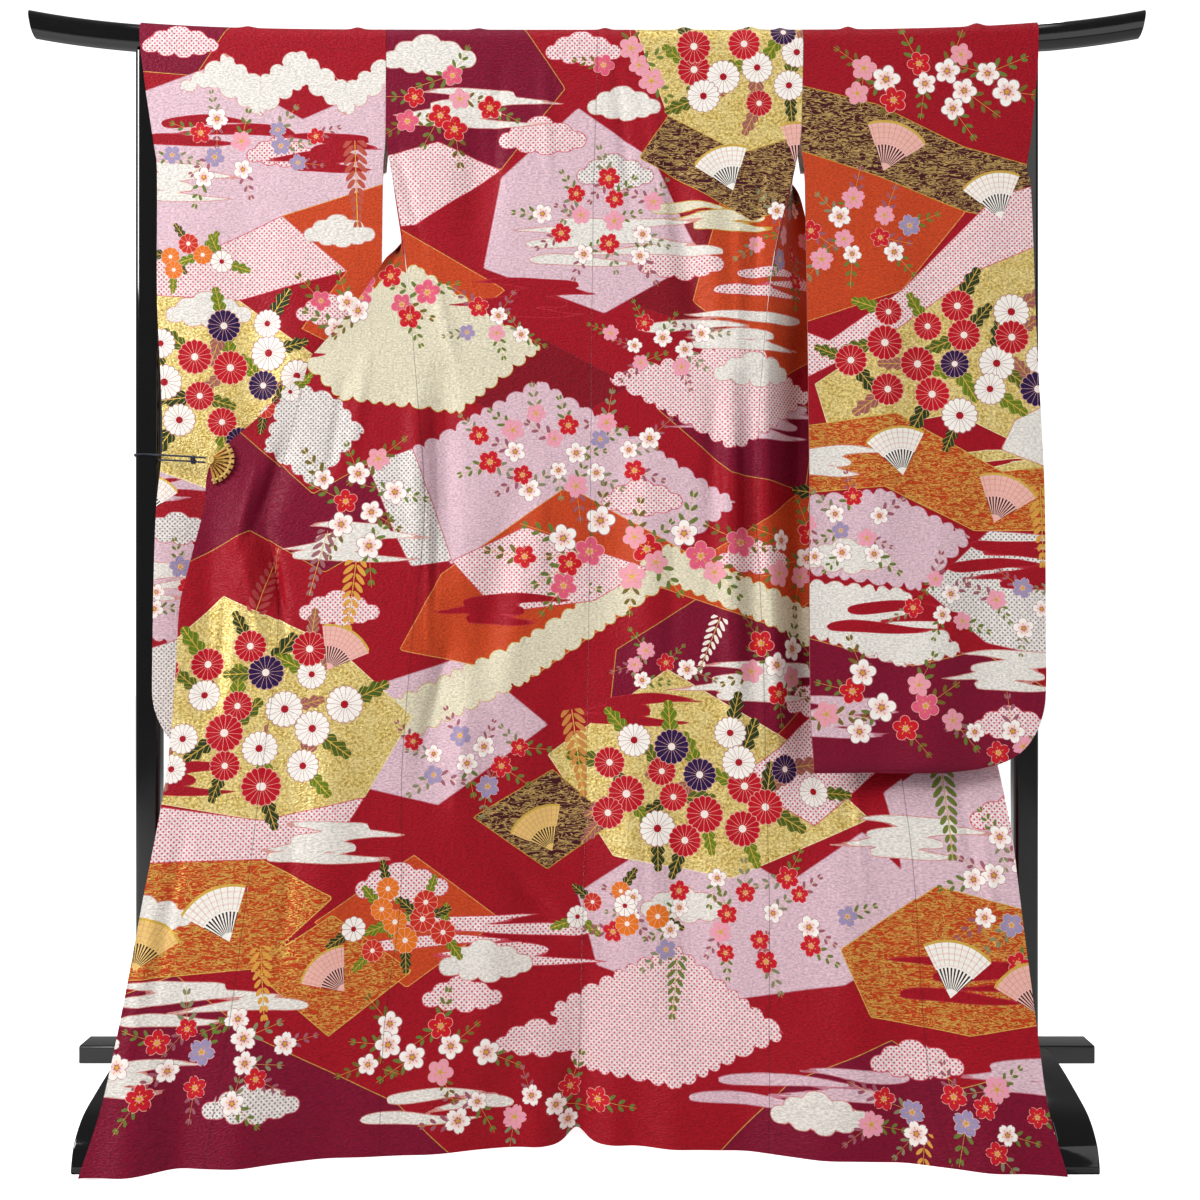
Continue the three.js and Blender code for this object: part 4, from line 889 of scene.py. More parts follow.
# A bank of mist: how far its bars slide and reach as shares of its length, the powers by which a bar
# grows from its blunt end and thins to its tail, and how it bends.
MIST = Sizes(
    slide=0.6, reach=0.34, spare=0.22, blunt=0.35, tail=0.9, taper=0.55, swell=1.35, pitch=1.6, bend=3,
    bends=2.6, away=2,
)
GOLDEN_SHARES = (0.618, 0.382)
DRIFT = 0.01  # how fast a pattern shifts with its place, in turns to a mm
FAR = 50.0  # beyond this many mm inside or outside a field, all places are alike
SCALLOP = Sizes(radius=11, pitch=21, sway=4, sway_length=17, sunk=1 / 3)
# Puffs of a cloud: share of its length, and share of its height for the middle and for the radius.
PUFFS = [
    (-0.42, 0.0, 0.3), (-0.26, 0.26, 0.38), (-0.04, 0.42, 0.46), (0.2, 0.24, 0.4), (0.4, 0.02, 0.3),
    (-0.2, -0.16, 0.3), (0.04, -0.2, 0.34), (0.26, -0.14, 0.28),
]
PUFF_BAR = (0.42, 0.2)  # the flat bar in a cloud's middle, as shares of its length and height
PUFF_FLAT = 0.08  # half the flat top of a puff, as a share of the height


def trimmed(depth, along, edge):
    """The depth with half-round scallops set outside an edge that has them, swaying along it."""
    if edge == "scalloped":
        swayed = along + SCALLOP.sway * np.sin(along / SCALLOP.sway_length)
        u = 2 * (swayed / SCALLOP.pitch % 1) - 1
        return depth + SCALLOP.radius * (np.sqrt(np.maximum(0, 1 - u * u)) - SCALLOP.sunk)
    return depth


def inside_polygon(place, edge, corners):
    """Distance to the nearest edge, positive inside: by the crossings of each edge with a level
    line."""
    x, z = place[..., 0], place[..., 1]
    nearest, along = np.full(x.shape, 1e9), np.zeros(x.shape)
    crossed = np.zeros(x.shape, bool)
    corners = np.reshape(corners, (-1, 2))
    for (x0, z0), (x1, z1) in zip(corners, np.roll(corners, -1, 0)):
        dx, dz = x1 - x0, z1 - z0
        t = clamp01(((x - x0) * dx + (z - z0) * dz) / (dx * dx + dz * dz))
        off = np.hypot(x - x0 - t * dx, z - z0 - t * dz)
        along = np.where(off < nearest, t * math.hypot(dx, dz), along)
        nearest = np.minimum(nearest, off)
        if dz:
            crossed ^= ((z0 > z) != (z1 > z)) & (x < x0 + (z - z0) * dx / dz)
    return trimmed(np.where(crossed, nearest, -nearest), along, edge)


def inside_bar(place, x, z, half_length, half_height):
    """Distance inside a bar with round ends."""
    off = np.maximum(np.abs(place[..., 0] - x) - half_length, 0)
    return half_height - np.hypot(off, place[..., 1] - z)


def inside_mist(place, x, z, length, bars):
    """Bars on each other, each blunt at one end and drawn out to a thin tail at the other, slid
    aside by a share of the length that follows the golden ratio."""
    rows = []
    for k in range(bars):
        slid, spared = (k * GOLDEN_SHARES[0] + x * DRIFT) % 1, (k * GOLDEN_SHARES[1] + z * DRIFT) % 1
        reach = length * (MIST.reach + MIST.spare * spared)
        way = 1 if (k + int(abs(x))) % 2 else -1
        u = way * (place[..., 0] - x - (slid - 0.5) * length * MIST.slide) / reach
        tail = clamp01((1 + u) * MIST.taper) ** MIST.tail
        body = MIST.swell * BAR_HALF * clamp01(1 - u) ** MIST.blunt * tail
        bend = MIST.bend * np.sin(MIST.bends * u + k)
        off = np.abs(place[..., 1] - z - (k - bars / 2) * MIST.pitch * BAR_HALF - bend)
        rows.append(np.where(np.abs(u) < 1, body - off, -off - MIST.away))
    return np.maximum.reduce(rows)


def inside_cloud(place, x, z, length, height):
    """Round puffs all about a long flat bar."""
    wide, tall = PUFF_BAR
    puffs = [inside_bar(place, x, z, length * wide, height * tall)]
    for share, up, size in PUFFS:
        at = (x + share * length, z + up * height)
        puffs.append(inside_bar(place, *at, height * PUFF_FLAT, size * height))
    return np.maximum.reduce(puffs)


def field_depths(place, layout):
    """How far inside each finish's fields every place lies, in mm."""
    design = DESIGN[layout]
    depths = {finish: np.full(place.shape[:-1], -FAR) for finish in FINISHES}
    found = [
        (finish, inside_polygon(place, edge, corners))
        for edge in ("plain", "scalloped")
        for finish, *corners in design[edge]
    ]
    for word, inside in (("mist", inside_mist), ("clouds", inside_cloud)):
        for finish, rows in design[word].items():
            found += [(finish, inside(place, *row)) for row in rows]
    for finish, depth in found:
        depths[finish] = np.maximum(depths[finish], depth)
    return np.stack([np.clip(depths[finish], -FAR, FAR) for finish in FINISHES], -1)


# Kinds of blossom: how many petals, and 1 where they are notched.
KINDS = {"kiku": (16, 0.0), "plum": (5, 0.0), "cherry": (5, 1.0), "small_kiku": (10, 0.0)}
# A cluster: shares of a blossom's radius for its nudge, size and leaves, how much longer a sprig
# is than a leaf, how far out a leaf stands and how tall it is, the turn between two leaves, how far
# they swing, and the share of the spiral outside which each blossom has two.
CLUSTER = Sizes(
    nudge=0.26, sizes=(0.8, 1.08), leaves=(0.84, 1.15), sprig=1.35, out=0.45, tall=0.6, apart=2.4,
    swing=0.5, rim=0.7,
)
SPRIG_PAIRS = 3
SPRAY_TALL = 0.16
TINTS = {
    "kiku": ("B80020", "F4EFE8", "B80020", "F4EFE8", "2A0A4A", "B80020", "F4EFE8", "C00824"),
    "small_kiku": ("E07818", "F4EFE8", "C83020"),
    "plum": ("DC6080", "F6F1EC", "C81028", "E8A0B0", "F6F1EC"),
    "cherry": ("F6F1EC", "C81830", "E8A0B4", "F6F1EC", "F6F1EC", "C81830", "A094B8"),
}
LEAF_TINTS = {
    "kiku": ("68801C", "2E3E20", "A0605E", "526420"),
    "small_kiku": ("68801C", "2E3E20"),
    "plum": ("6F7F3A", "7A6A2A"),
    "cherry": ("6F7F3A", "A0606E", "8A8A6A"),
}
GOLDEN = math.pi * (3 - math.sqrt(5))
BLOOM_LAYERS = ("bloom_a", "bloom_b", "bloom_c")
LEAF_LAYERS = ("leaf_a", "leaf_b")


def linear(hex_colour):
    """An sRGB colour as linear light."""
    parts = [int(hex_colour[k : k + 2], 16) / 255 for k in (0, 2, 4)]
    return [p / 12.92 if p <= 0.04045 else ((p + 0.055) / 1.055) ** 2.4 for p in parts]


def blossoms(draw, kind, cx, cz, wide, high, count, radius):
    """A cluster's blossoms on a sunflower spiral, nudged and turned by a seeded draw, with leaves
    that reach out from under them."""
    made = []
    petals, notch = KINDS[kind]
    mum = "kiku" in kind
    for k in range(count):
        reach = math.sqrt((k + 0.4) / count)
        angle = k * GOLDEN + cx * DRIFT
        nudge = draw.uniform(-CLUSTER.nudge, CLUSTER.nudge, 2) * radius
        size = radius * draw.uniform(*CLUSTER.sizes)
        turn = draw.uniform(0, 2 * math.pi)
        x = cx + wide * reach * math.cos(angle) + nudge[0]
        z = cz + high * reach * math.sin(angle) + nudge[1]
        tint = TINTS[kind][int(draw.integers(len(TINTS[kind])))]
        made.append((BLOOM_LAYERS, x, z, turn, size, size, petals + notch * 0.5, tint))
        for leaf_turn in (0.0, CLUSTER.apart) if mum or reach > CLUSTER.rim else (0.0,):
            out = angle + leaf_turn + draw.uniform(-CLUSTER.swing, CLUSTER.swing)
            leaf = radius * draw.uniform(*CLUSTER.leaves) * (1 if mum else CLUSTER.sprig)
            far = size + leaf * CLUSTER.out
            place = (x + math.cos(out) * far, z + math.sin(out) * far)
            shade = LEAF_TINTS[kind][(k + int(leaf_turn)) % len(LEAF_TINTS[kind])]
            pairs = 1 if mum else SPRIG_PAIRS
            made.append((LEAF_LAYERS, *place, out, leaf, leaf * CLUSTER.tall, pairs, shade))
    return made


def motifs(layout):
    """Each motif of a layout as its layers, middle, turn, half length, half height, kind number and
    tint. All layouts share one seeded draw."""
    draw = np.random.default_rng(11)
    made = {
        where: [row for cluster in design["clusters"] for row in blossoms(draw, *cluster)]
        for where, design in DESIGN.items()
    }[layout]
    for x, z, length, degrees, pairs, tint in DESIGN[layout]["sprays"]:
        turn = math.radians(degrees)
        x, z = x + length / 2 * math.cos(turn), z + length / 2 * math.sin(turn)
        made.append((LEAF_LAYERS, x, z, turn, length / 2, length * SPRAY_TALL, pairs, tint))
    for x, z, size, degrees, tint in DESIGN[layout]["fans"]:
        made.append((("fan",), x, z, math.radians(degrees), size, size, 1, tint))
    return made


MOTIF_ROOM = (1.03, 1.05)  # how much of its half length and half height a motif may cover


def lay_motifs(place, faces, layout):
    """For each layer, every face corner's place within the motif that covers it, and its tint. A
    motif takes the first of its layers where all the faces that it covers are still free."""
    count = len(faces)
    names = (*BLOOM_LAYERS, *LEAF_LAYERS, "fan")
    local = {name: np.zeros((count, 4, 3), np.float32) for name in names}
    tints = {name: np.zeros((count, 4, 4), np.float32) for name in names}
    taken = {name: np.zeros(count, bool) for name in names}
    corners = place[faces]
    low, high = corners.min(1), corners.max(1)
    for layers, x, z, turn, half, tall, kind, tint in motifs(layout):
        reach = math.hypot(half, tall)
        near = np.flatnonzero(((high > (x - reach, z - reach)) & (low < (x + reach, z + reach))).all(1))
        off = (corners[near] - (x, z)) / half
        along = off[..., 0] * math.cos(turn) + off[..., 1] * math.sin(turn)
        across = off[..., 1] * math.cos(turn) - off[..., 0] * math.sin(turn)
        if tall == half:
            covered = np.hypot(along, across) < MOTIF_ROOM[0]
        else:
            covered = (np.abs(along) < MOTIF_ROOM[0]) & (np.abs(across) < tall / half * MOTIF_ROOM[1])
        covered = covered.any(1)
        ids = near[covered]
        name = next((name for name in layers if not taken[name][ids].any()), None)
        if name is None and layers is LEAF_LAYERS:
            continue
        if name is None:
            name = layers[-1]
            covered[covered] = ~taken[name][ids]
            ids = near[covered]
        taken[name][ids] = True
        local[name][ids, :, 0] = along[covered]
        local[name][ids, :, 1] = across[covered]
        local[name][ids, :, 2] = kind
        tints[name][ids] = (*linear(tint), 1)
    return local, tints


def shade_seams(obj, shape, sewn):
    """Marks the columns of points that are sewn to the next piece, where the cloth is darkened with
    painted shade along the seam.
    """
    shade_marks = np.zeros((2, *shape), np.float32)
    shade_marks[:, :, list(sewn)] = 1
    layer = obj.data.attributes.new("seam", "FLOAT", "POINT")
    layer.data.foreach_set("value", shade_marks.ravel())


def paint(obj, place, faces, layout):
    """Stores the design on a piece of cloth: the depths inside the fields at its points, the places
    within motifs at its corners, and the design's plane as a UV map in decimetres."""
    mesh = obj.data
    depths = np.full((len(mesh.vertices), len(FINISHES)), -FAR, np.float32)
    depths[: len(place)] = field_depths(place, layout)
    for k in range(0, len(FINISHES), 3):
        layer = mesh.attributes.new(f"fields_{k // 3}", "FLOAT_VECTOR", "POINT")
        layer.data.foreach_set("vector", depths[:, k : k + 3].ravel())

    def at_corners(values):
        spread = np.zeros((len(mesh.loops), values.shape[-1]), np.float32)
        spread[: 4 * len(faces)] = values.reshape(-1, values.shape[-1])
        return spread.ravel()

    local, tints = lay_motifs(place, faces, layout)
    for name in local:
        spot = mesh.attributes.new(name, "FLOAT_VECTOR", "CORNER")
        spot.data.foreach_set("vector", at_corners(local[name]))
        tint = mesh.attributes.new(name + "_tint", "FLOAT_COLOR", "CORNER")
        tint.data.foreach_set("color", at_corners(tints[name]))
    plane = at_corners(place[faces] * DECIMETRE)
    mesh.uv_layers.new(name="design_plane").data.foreach_set("uv", plane)


# ---- Sizes and colours that a user would change ----


def colour_of(name, description, hex_colour):
    default = linear(hex_colour)
    own = {"name": name, "description": description, "default": default}
    return FloatVectorProperty(subtype="COLOR", size=3, min=0, max=1, **own)


def size_of(name, description, millimetres):
    own = {"name": name, "description": description, "default": millimetres * MM}
    return FloatProperty(subtype="DISTANCE", unit="LENGTH", precision=4, min=0, **own)


def power_of(name, description, watts):
    return FloatProperty(name=name, description=description, unit="POWER", min=0, default=watts)


class KIMONO_PG_cloth(PropertyGroup):
    """The kimono's silk"""

    thickness: size_of("Thickness", "Thickness of the silk with its lining", WALL)
    ground: colour_of("Ground", "Red dye under the painted fields", "A00420")
    lining: colour_of("Lining", "Dye of the lining", "F0E8E0")
    skirt: colour_of("Skirt Lining", "Dye that the lining fades to towards the hem", "B0203A")
    piping: colour_of("Piping", "Dye of the piping along the edges", "B00820")


class KIMONO_PG_clip(PropertyGroup):
    """The fan clip and its cord"""

    radius: size_of("Fan Radius", "Length of the fan's ribs from their pivot", CLIP.radius)
    ribs: IntProperty(name="Ribs", description="How many ribs the fan has", min=3, default=CLIP.ribs)
    cord: size_of("Cord Diameter", "Diameter of the cord", 2 * CORD_RADIUS)
    gilt: colour_of("Gilt", "Colour of the fan's gilding", "EED08A")
    dye: colour_of("Cord Dye", "Colour of the cord", "10163C")


class KIMONO_PG_stand(PropertyGroup):
    """The stand"""

    bar_height: size_of("Bar Height", "Height of the top bar's section", BAR.height)
    bar_length: size_of("Bar Length", "Length of the top bar", 2 * BAR.half)
    post_width: size_of("Post Width", "Width of a post", POST.width)
    post_depth: size_of("Post Depth", "Depth of a post", POST.depth)
    foot_width: size_of("Foot Width", "Width of a foot", FOOT.width)
    lacquer: colour_of("Lacquer", "Colour of the lacquer", "060607")


class KIMONO_PG_stage(PropertyGroup):
    """Camera and light"""

    lens: FloatProperty(name="Lens", description="Focal length", unit="CAMERA", default=45.3)
    sky: FloatProperty(name="Sky", description="Strength of the even light", min=0, default=0.22)
    key: power_of("Key Light", "Power of the main lamp", 74)
    fill: power_of("Fill Light", "Power of the weaker lamps", 12)


# ---- Materials ----


def by_node(operation, flipped=False):
    """Arithmetic on two values as a Math node."""

    def act(self, other):
        pair = (other, self) if flipped else (self, other)
        return self.nodes.math(operation, *pair)

    return act


class Out:
    """An output of a node. Arithmetic with it adds Math nodes, and a comparison gives 1 or 0, so
    that a pattern reads as a formula."""

    def __init__(self, nodes, socket):
        self.nodes = nodes
        self.socket = socket

    __add__ = __radd__ = by_node("ADD")
    __mul__ = __rmul__ = by_node("MULTIPLY")
    __sub__ = by_node("SUBTRACT")
    __rsub__ = by_node("SUBTRACT", flipped=True)
    __truediv__ = by_node("DIVIDE")
    __rtruediv__ = by_node("DIVIDE", flipped=True)
    __lt__ = by_node("LESS_THAN")
    __gt__ = by_node("GREATER_THAN")

    def __abs__(self):
        return self.nodes.math("ABSOLUTE", self)


class Nodes:
    """Adds nodes to a tree and links them."""

    def __init__(self, tree):
        self.tree = tree

    def node(self, kind, inputs=None, **settings):
        """A new node with its settings and inputs: its outputs by number and name."""
        made = self.tree.nodes.new(kind if kind.startswith("Node") else "ShaderNode" + kind)
        for name, value in settings.items():
            setattr(made, name, value)
        self.fill(made.inputs, inputs or {})
        found = {}
        for number, socket in enumerate(made.outputs):
            found[number] = Out(self, socket)
            found.setdefault(socket.name, found[number])
        return found

    def feed(self, socket, value):
        if isinstance(value, Out):
            self.tree.links.new(value.socket, socket)
        else:
            socket.default_value = value

    def fill(self, sockets, values):
        for key, value in values.items():
            self.feed(sockets[key], value)

    def math(self, operation, *values, clamp=False):
        inputs = dict(enumerate(values))
        return self.node("Math", inputs, operation=operation, use_clamp=clamp)[0]

    def fraction(self, value):
        return self.math("FRACT", value)

    def larger(self, a, b):
        return self.math("MAXIMUM", a, b)

    def distance(self, a, b):
        """The root of the sum of both squares."""
        return self.math("SQRT", a * a + b * b)

    def scaled(self, vector, factors):
        return self.node("VectorMath", {0: vector, 1: factors}, operation="MULTIPLY")[0]

    def mix(self, share, a, b, blend="MIX"):
        inputs = {0: share, 6: a, 7: b}
        return self.node("Mix", inputs, data_type="RGBA", blend_type=blend)[2]

    def between(self, share, a, b):
        return self.node("Mix", {0: share, 2: a, 3: b}, data_type="FLOAT")[0]

    def ramp(self, value, low, high, to_low=0.0, to_high=1.0):
        inputs = {0: value, 1: low, 2: high, 3: to_low, 4: to_high}
        return self.node("MapRange", inputs, interpolation_type="SMOOTHSTEP")[0]

    def split(self, vector):
        found = self.node("SeparateXYZ", {0: vector})
        return found[0], found[1], found[2]

    def grey(self, value):
        return self.node("CombineXYZ", {0: value, 1: value, 2: value})[0]

    def noise(self, place, scale, detail=2.0, roughness=0.5, distortion=0.0):
        names = ("Vector", "Scale", "Detail", "Roughness", "Distortion")
        values = (place, scale, detail, roughness, distortion)
        return self.node("TexNoise", dict(zip(names, values)))[0]

    def attribute(self, name, output="Vector"):
        return self.node("Attribute", attribute_name=name)[output]

    def plane(self, name):
        return self.node("UVMap", uv_map=name)[0]

    def place(self):
        return self.node("TexCoord")["Object"]

    def seen_straight(self):
        return self.node("LightPath")["Is Camera Ray"]

    def group(self, tree, inputs):
        return self.node("Group", inputs, node_tree=tree)


SOCKETS = {"colour": "NodeSocketColor", "value": "NodeSocketFloat", "vector": "NodeSocketVector"}


def effect(inputs, outputs):
    """Makes a pattern a node group with named sockets, built the first time that it is asked for
    and found by its name afterwards. The pattern takes the nodes and what is given, and returns
    what each output shows."""

    def grouped(pattern):
        name = pattern.__name__

        def found():
            tree = bpy.data.node_groups.get(name)
            if tree is None:
                tree = bpy.data.node_groups.new(name, "ShaderNodeTree")
                for way, sockets in (("INPUT", inputs), ("OUTPUT", outputs)):
                    for word, kind in sockets.items():
                        tree.interface.new_socket(name=word, in_out=way, socket_type=SOCKETS[kind])
                n = Nodes(tree)
                results = pattern(n, n.node("NodeGroupInput"))
                n.fill(tree.nodes.new("NodeGroupOutput").inputs, results)
            return tree

        return found

    return grouped


def rgba(hex_colour):
    return (*linear(hex_colour), 1)


# Colours of threads, paints and worn places; seam is the dark red of the painted shade along seams, and of
# the lining's damask.
DYES = {
    word: rgba(hex_colour)
    for word, hex_colour in {
        "leaf": "EAD68E", "leaf_shade": "BE9E52", "leaf_light": "F0DFA6", "leaf_worn": "8A6A2A",
        "dark_brocade": "4A0E1C", "dark_gold": "BFA268",
        "orange_brocade": "BC4416", "orange_gold": "D2A858",
        "dots": "E8D6D6", "pink": "C8405A", "grey_ground": "E4DED8", "grey": "8E7E88",
        "red_on_pale": "A04450", "pale_on_red": "E8B8A8", "blush": "EFA8AC",
        "stamen": "D8A83A", "heart": "A80820", "pale_heart": "F0E4DC",
        "gold_thread": "D8B45A", "fold": "B8904A", "print": "D97A80", "gap": "2A1418",
        # painted shade along the seams, also the lining's damask tone
        "seam": "3A0410",
    }.items()
}


CREPE = Sizes(threads=(240.0, 470.0, 0.0), rough=0.6, slub=(0.3, 0.7), under_damask=0.35)
DAMASK = Sizes(scale=52.0, rough=0.55, twist=2.4, line=(0.02, 0.05))


@effect({"Cloth": "vector"}, {"Height": "value", "Damask": "value", "Slub": "value"})
def crepe_grain(n, given):
    """Fine crepe grain, streaks of slub and a woven damask of scrolls, from places on the flat
    cloth in metres: noise stretched along the threads, and lines where a twisted noise is half."""
    threads = n.scaled(given["Cloth"], CREPE.threads)
    slub = n.ramp(n.noise(threads, 1.0, 1.0, CREPE.rough), *CREPE.slub)
    scroll = n.noise(given["Cloth"], DAMASK.scale, 1.0, DAMASK.rough, DAMASK.twist)
    damask = n.ramp(abs(scroll - 0.5), *DAMASK.line, 1.0, 0.0)
    return {"Height": damask * CREPE.under_damask + slub, "Damask": damask, "Slub": slub}


DOT_PITCH = 21.0  # dots to a decimetre
DOT_EDGE = (0.2, 0.3)  # where a dot fades, as shares of the pitch


@effect({"Plane": "vector"}, {"Dots": "value"})
def tied_dots(n, given):
    """Rows of small dots on a slant, as of tied dyeing, from places in the design's plane: the
    distance from the middle of each square of a grid turned by an eighth."""
    x, y, _ = n.split(given["Plane"])
    pitch = DOT_PITCH * math.sqrt(0.5)
    a = n.fraction((x + y) * pitch) - 0.5
    b = n.fraction((x - y) * pitch) - 0.5
    return {"Dots": n.ramp(n.distance(a, b), *DOT_EDGE, 1.0, 0.0)}


@effect({"Plane": "vector"}, {"Color": "colour", "Worn": "value"})
def gold_leaf(n, given):
    """Rubbed gold leaf: a warm gold with darker flecks, lighter patches and worn specks, each a
    noise of its own scale."""
    plane = given["Plane"]
    flecks = n.ramp(n.noise(plane, 26.0, 2.0, 0.7), 0.42, 0.62)
    patches = n.ramp(n.noise(plane, 5.0, 1.0, 0.6), 0.35, 0.7)
    worn = n.ramp(n.noise(plane, 44.0, 1.0, 0.6), 0.6, 0.72)
    colour = n.mix(flecks, DYES["leaf"], DYES["leaf_shade"])
    colour = n.mix(patches * 0.45, colour, DYES["leaf_light"])
    return {"Color": n.mix(worn * 0.6, colour, DYES["leaf_worn"]), "Worn": worn}


RIPPLE = Sizes(stretch=(6.0, 21.0, 0.0), rough=0.6, twist=1.4, line=(0.03, 0.06))


@effect({"Plane": "vector"}, {"Gold": "value"})
def brocade_ripples(n, given):
    """Gold ripples lying along the ground, thick and thin: lines where a stretched noise is half."""
    stretched = n.scaled(given["Plane"], RIPPLE.stretch)
    ripples = n.noise(stretched, 1.0, 2.0, RIPPLE.rough, RIPPLE.twist)
    return {"Gold": n.ramp(abs(ripples - 0.5), *RIPPLE.line, 1.0, 0.0)}


# Each finish: its colour, and the thin line round it.
FINISH_LOOKS = {
    "wine": ("800030", "C9A050"),
    "crimson": ("86041E", "8C2030"),
    "lilac": ("D8BAC4", "C07A88"),
    "orange": ("C24A20", "D9A05A"),
    "cream": ("DCD4BC", "C8A040"),
    "gold": ("D7B95F", "F0E0B0"),
    "dark_brocade": ("5A1A1E", "C8A040"),
    "orange_brocade": ("C4602A", "D8B45A"),
    "pink_dots": ("F2E8E6", "C84858"),
    "grey_dots": ("F0EEEA", "C05864"),
    "white": ("E2DDD6", "D09088"),
    "red_mist": ("A00420", "B42A3A"),
}
LINE_HALF = 0.6  # half the width of the line round a field, in mm


LINE_SHARE = 0.85  # how much of the line's colour shows
METAL = {"gold": 0.5, "worn": -0.3, "brocade": 0.5}
# How damask and slub shade the colours, and how damask and metal change the roughness of 0.46.
SHADE = Sizes(even=1.17, damask=-0.09, slub=-0.3)
ROUGH = Sizes(even=0.46, damask=0.14, metal=-0.14)
FIELD_SOCKETS = [f"Fields {k}" for k in range(4)]


@effect(
    dict.fromkeys(FIELD_SOCKETS, "vector")
    | {"Plane": "vector", "Damask": "value", "Slub": "value", "Ground": "colour"},
    {"Color": "colour", "Metallic": "value", "Roughness": "value"},
)
def painted_ground(n, given):
    """The fields of the design over the red ground, each finish with its pattern and its line: a
    finish shows where its depth is above nought, and its line where the depth is near nought."""
    depths = [depth for word in FIELD_SOCKETS for depth in n.split(given[word])]
    plane = {"Plane": given["Plane"]}
    dots = n.group(tied_dots(), plane)["Dots"]
    leaf = n.group(gold_leaf(), plane)
    ripples = n.group(brocade_ripples(), plane)["Gold"]
    patterned = {
        "gold": leaf["Color"],
        "dark_brocade": n.mix(ripples, DYES["dark_brocade"], DYES["dark_gold"]),
        "orange_brocade": n.mix(ripples, DYES["orange_brocade"], DYES["orange_gold"]),
        "pink_dots": n.mix(dots, DYES["dots"], DYES["pink"]),
        "grey_dots": n.mix(dots, DYES["grey_ground"], DYES["grey"]),
    }
    brocade = ripples * METAL["brocade"]
    gold = leaf["Worn"] * METAL["worn"] + METAL["gold"]
    metal = {"gold": gold, "dark_brocade": brocade, "orange_brocade": brocade}
    colour, shine = given["Ground"], 0.0
    for finish, depth in zip(FINISHES, depths):
        look, line = FINISH_LOOKS[finish]
        inside = depth > 0.0
        colour = n.mix(inside, colour, patterned.get(finish, rgba(look)))
        shine = n.between(inside, shine, metal.get(finish, 0.0))
        edge = abs(depth) < LINE_HALF
        colour = n.mix(edge * LINE_SHARE, colour, rgba(line))
    damask, slub = given["Damask"], given["Slub"]
    shade = damask * SHADE.damask + SHADE.even + slub * SHADE.slub
    rough = damask * ROUGH.damask + ROUGH.even + shine * ROUGH.metal
    shaded_colour = n.mix(1.0, colour, n.grey(shade), "MULTIPLY")
    return {"Color": shaded_colour, "Metallic": shine, "Roughness": rough}


MOTIF_SOCKETS = {"Color": "colour", "Metallic": "value", "Place": "vector", "Tint": "colour"}


LAID_SOCKETS = {"Color": "colour", "Metallic": "value"}
THREAD_SHINE = 0.55


def laid(n, given, mask, colour, gold):
    """The motif's colour, with gold threads that shine, over what lies under it."""
    kind = n.split(given["Place"])[2]
    mask = mask * (kind > 0.1)
    return {
        "Color": n.mix(mask, given["Color"], colour),
        "Metallic": n.between(mask, given["Metallic"], gold * THREAD_SHINE),
    }


# Places and sizes are shares of a motif's half length, as in all motifs.
FEW = 8  # a blossom of fewer petals is a round-petalled one
PETAL = Sizes(middle=0.58, long=0.42, wide=0.4, tip=0.84, notch=-1.4, base=0.34, rim=0.88)
MUM = Sizes(bow=-0.46, gap=0.39, line=0.012, rim=0.05, heart=0.2)
STAMEN = Sizes(half=0.022, reach=0.42, bead_at=0.45, bead=0.0028, heart=0.13)
PALE = (0.3, 0.5)  # the green of a tint, from a deep one to a pale one
BLUSH = (0.2, 0.7, 0.6, 0.0)  # full at the first reach, none at the second


@effect(MOTIF_SOCKETS, LAID_SOCKETS)
def blossom(n, given):
    """Petals round a middle, as many as the whole part of the kind says. Few petals are ovals, with
    stamens, and notched at their tips where the kind has a half more. Many petals fill a disc with a
    scalloped rim and fine lines between them."""
    x, y, kind = n.split(given["Place"])
    tint = given["Tint"]
    count = n.math("FLOOR", kind)
    few = count < FEW
    share = n.fraction(n.math("ARCTAN2", y, x) * count * (1 / math.tau)) - 0.5
    angle = share * math.tau / count
    reach = n.distance(x, y)
    along = reach * n.math("COSINE", angle)
    across = abs(reach * n.math("SINE", angle))
    oval = n.distance((along - PETAL.middle) / PETAL.long, across / PETAL.wide)
    cut = (across * PETAL.notch + along > PETAL.tip) * n.fraction(kind) * 2.0
    petal = n.larger(n.math("SUBTRACT", oval < 1.0, cut, clamp=True), reach < PETAL.base)
    rim = share * share * MUM.bow + 1.0
    mask = n.between(few, reach < rim, petal)

    pale = n.ramp(n.split(tint)[1], *PALE)
    apart = (0.5 - abs(share)) * reach * MUM.gap
    between = n.larger(apart < MUM.line, reach > rim - MUM.rim)
    line = n.between(few, between, oval > PETAL.rim)
    colour = n.mix(n.ramp(reach, *BLUSH) * pale * few, tint, DYES["blush"])
    colour = n.mix(line * 0.8, colour, n.mix(pale, DYES["pale_on_red"], DYES["red_on_pale"]))

    thread = (across < STAMEN.half) * (reach < STAMEN.reach)
    off = along - STAMEN.bead_at
    bead = off * off + across * across < STAMEN.bead
    stamens = few * n.larger(thread, bead)
    colour = n.mix(stamens, colour, DYES["stamen"])
    heart = reach < n.between(few, MUM.heart, STAMEN.heart)
    middle = n.mix(few, n.mix(pale, DYES["pale_heart"], DYES["heart"]), DYES["stamen"])
    return laid(n, given, mask, n.mix(heart, colour, middle), stamens)


TAPER = Sizes(start=-0.6, loss=0.65)
LEAFLET = Sizes(
    tall=0.9, spare=0.18, slant=0.42, wide=0.12, widens=0.028, middle=0.56, half=0.46, stem=0.012,
)
LOBED = Sizes(lobes=5.2, depth=0.2, least=0.24, vein=0.03, slant=-1.4, veins=16.0, thin=0.93)


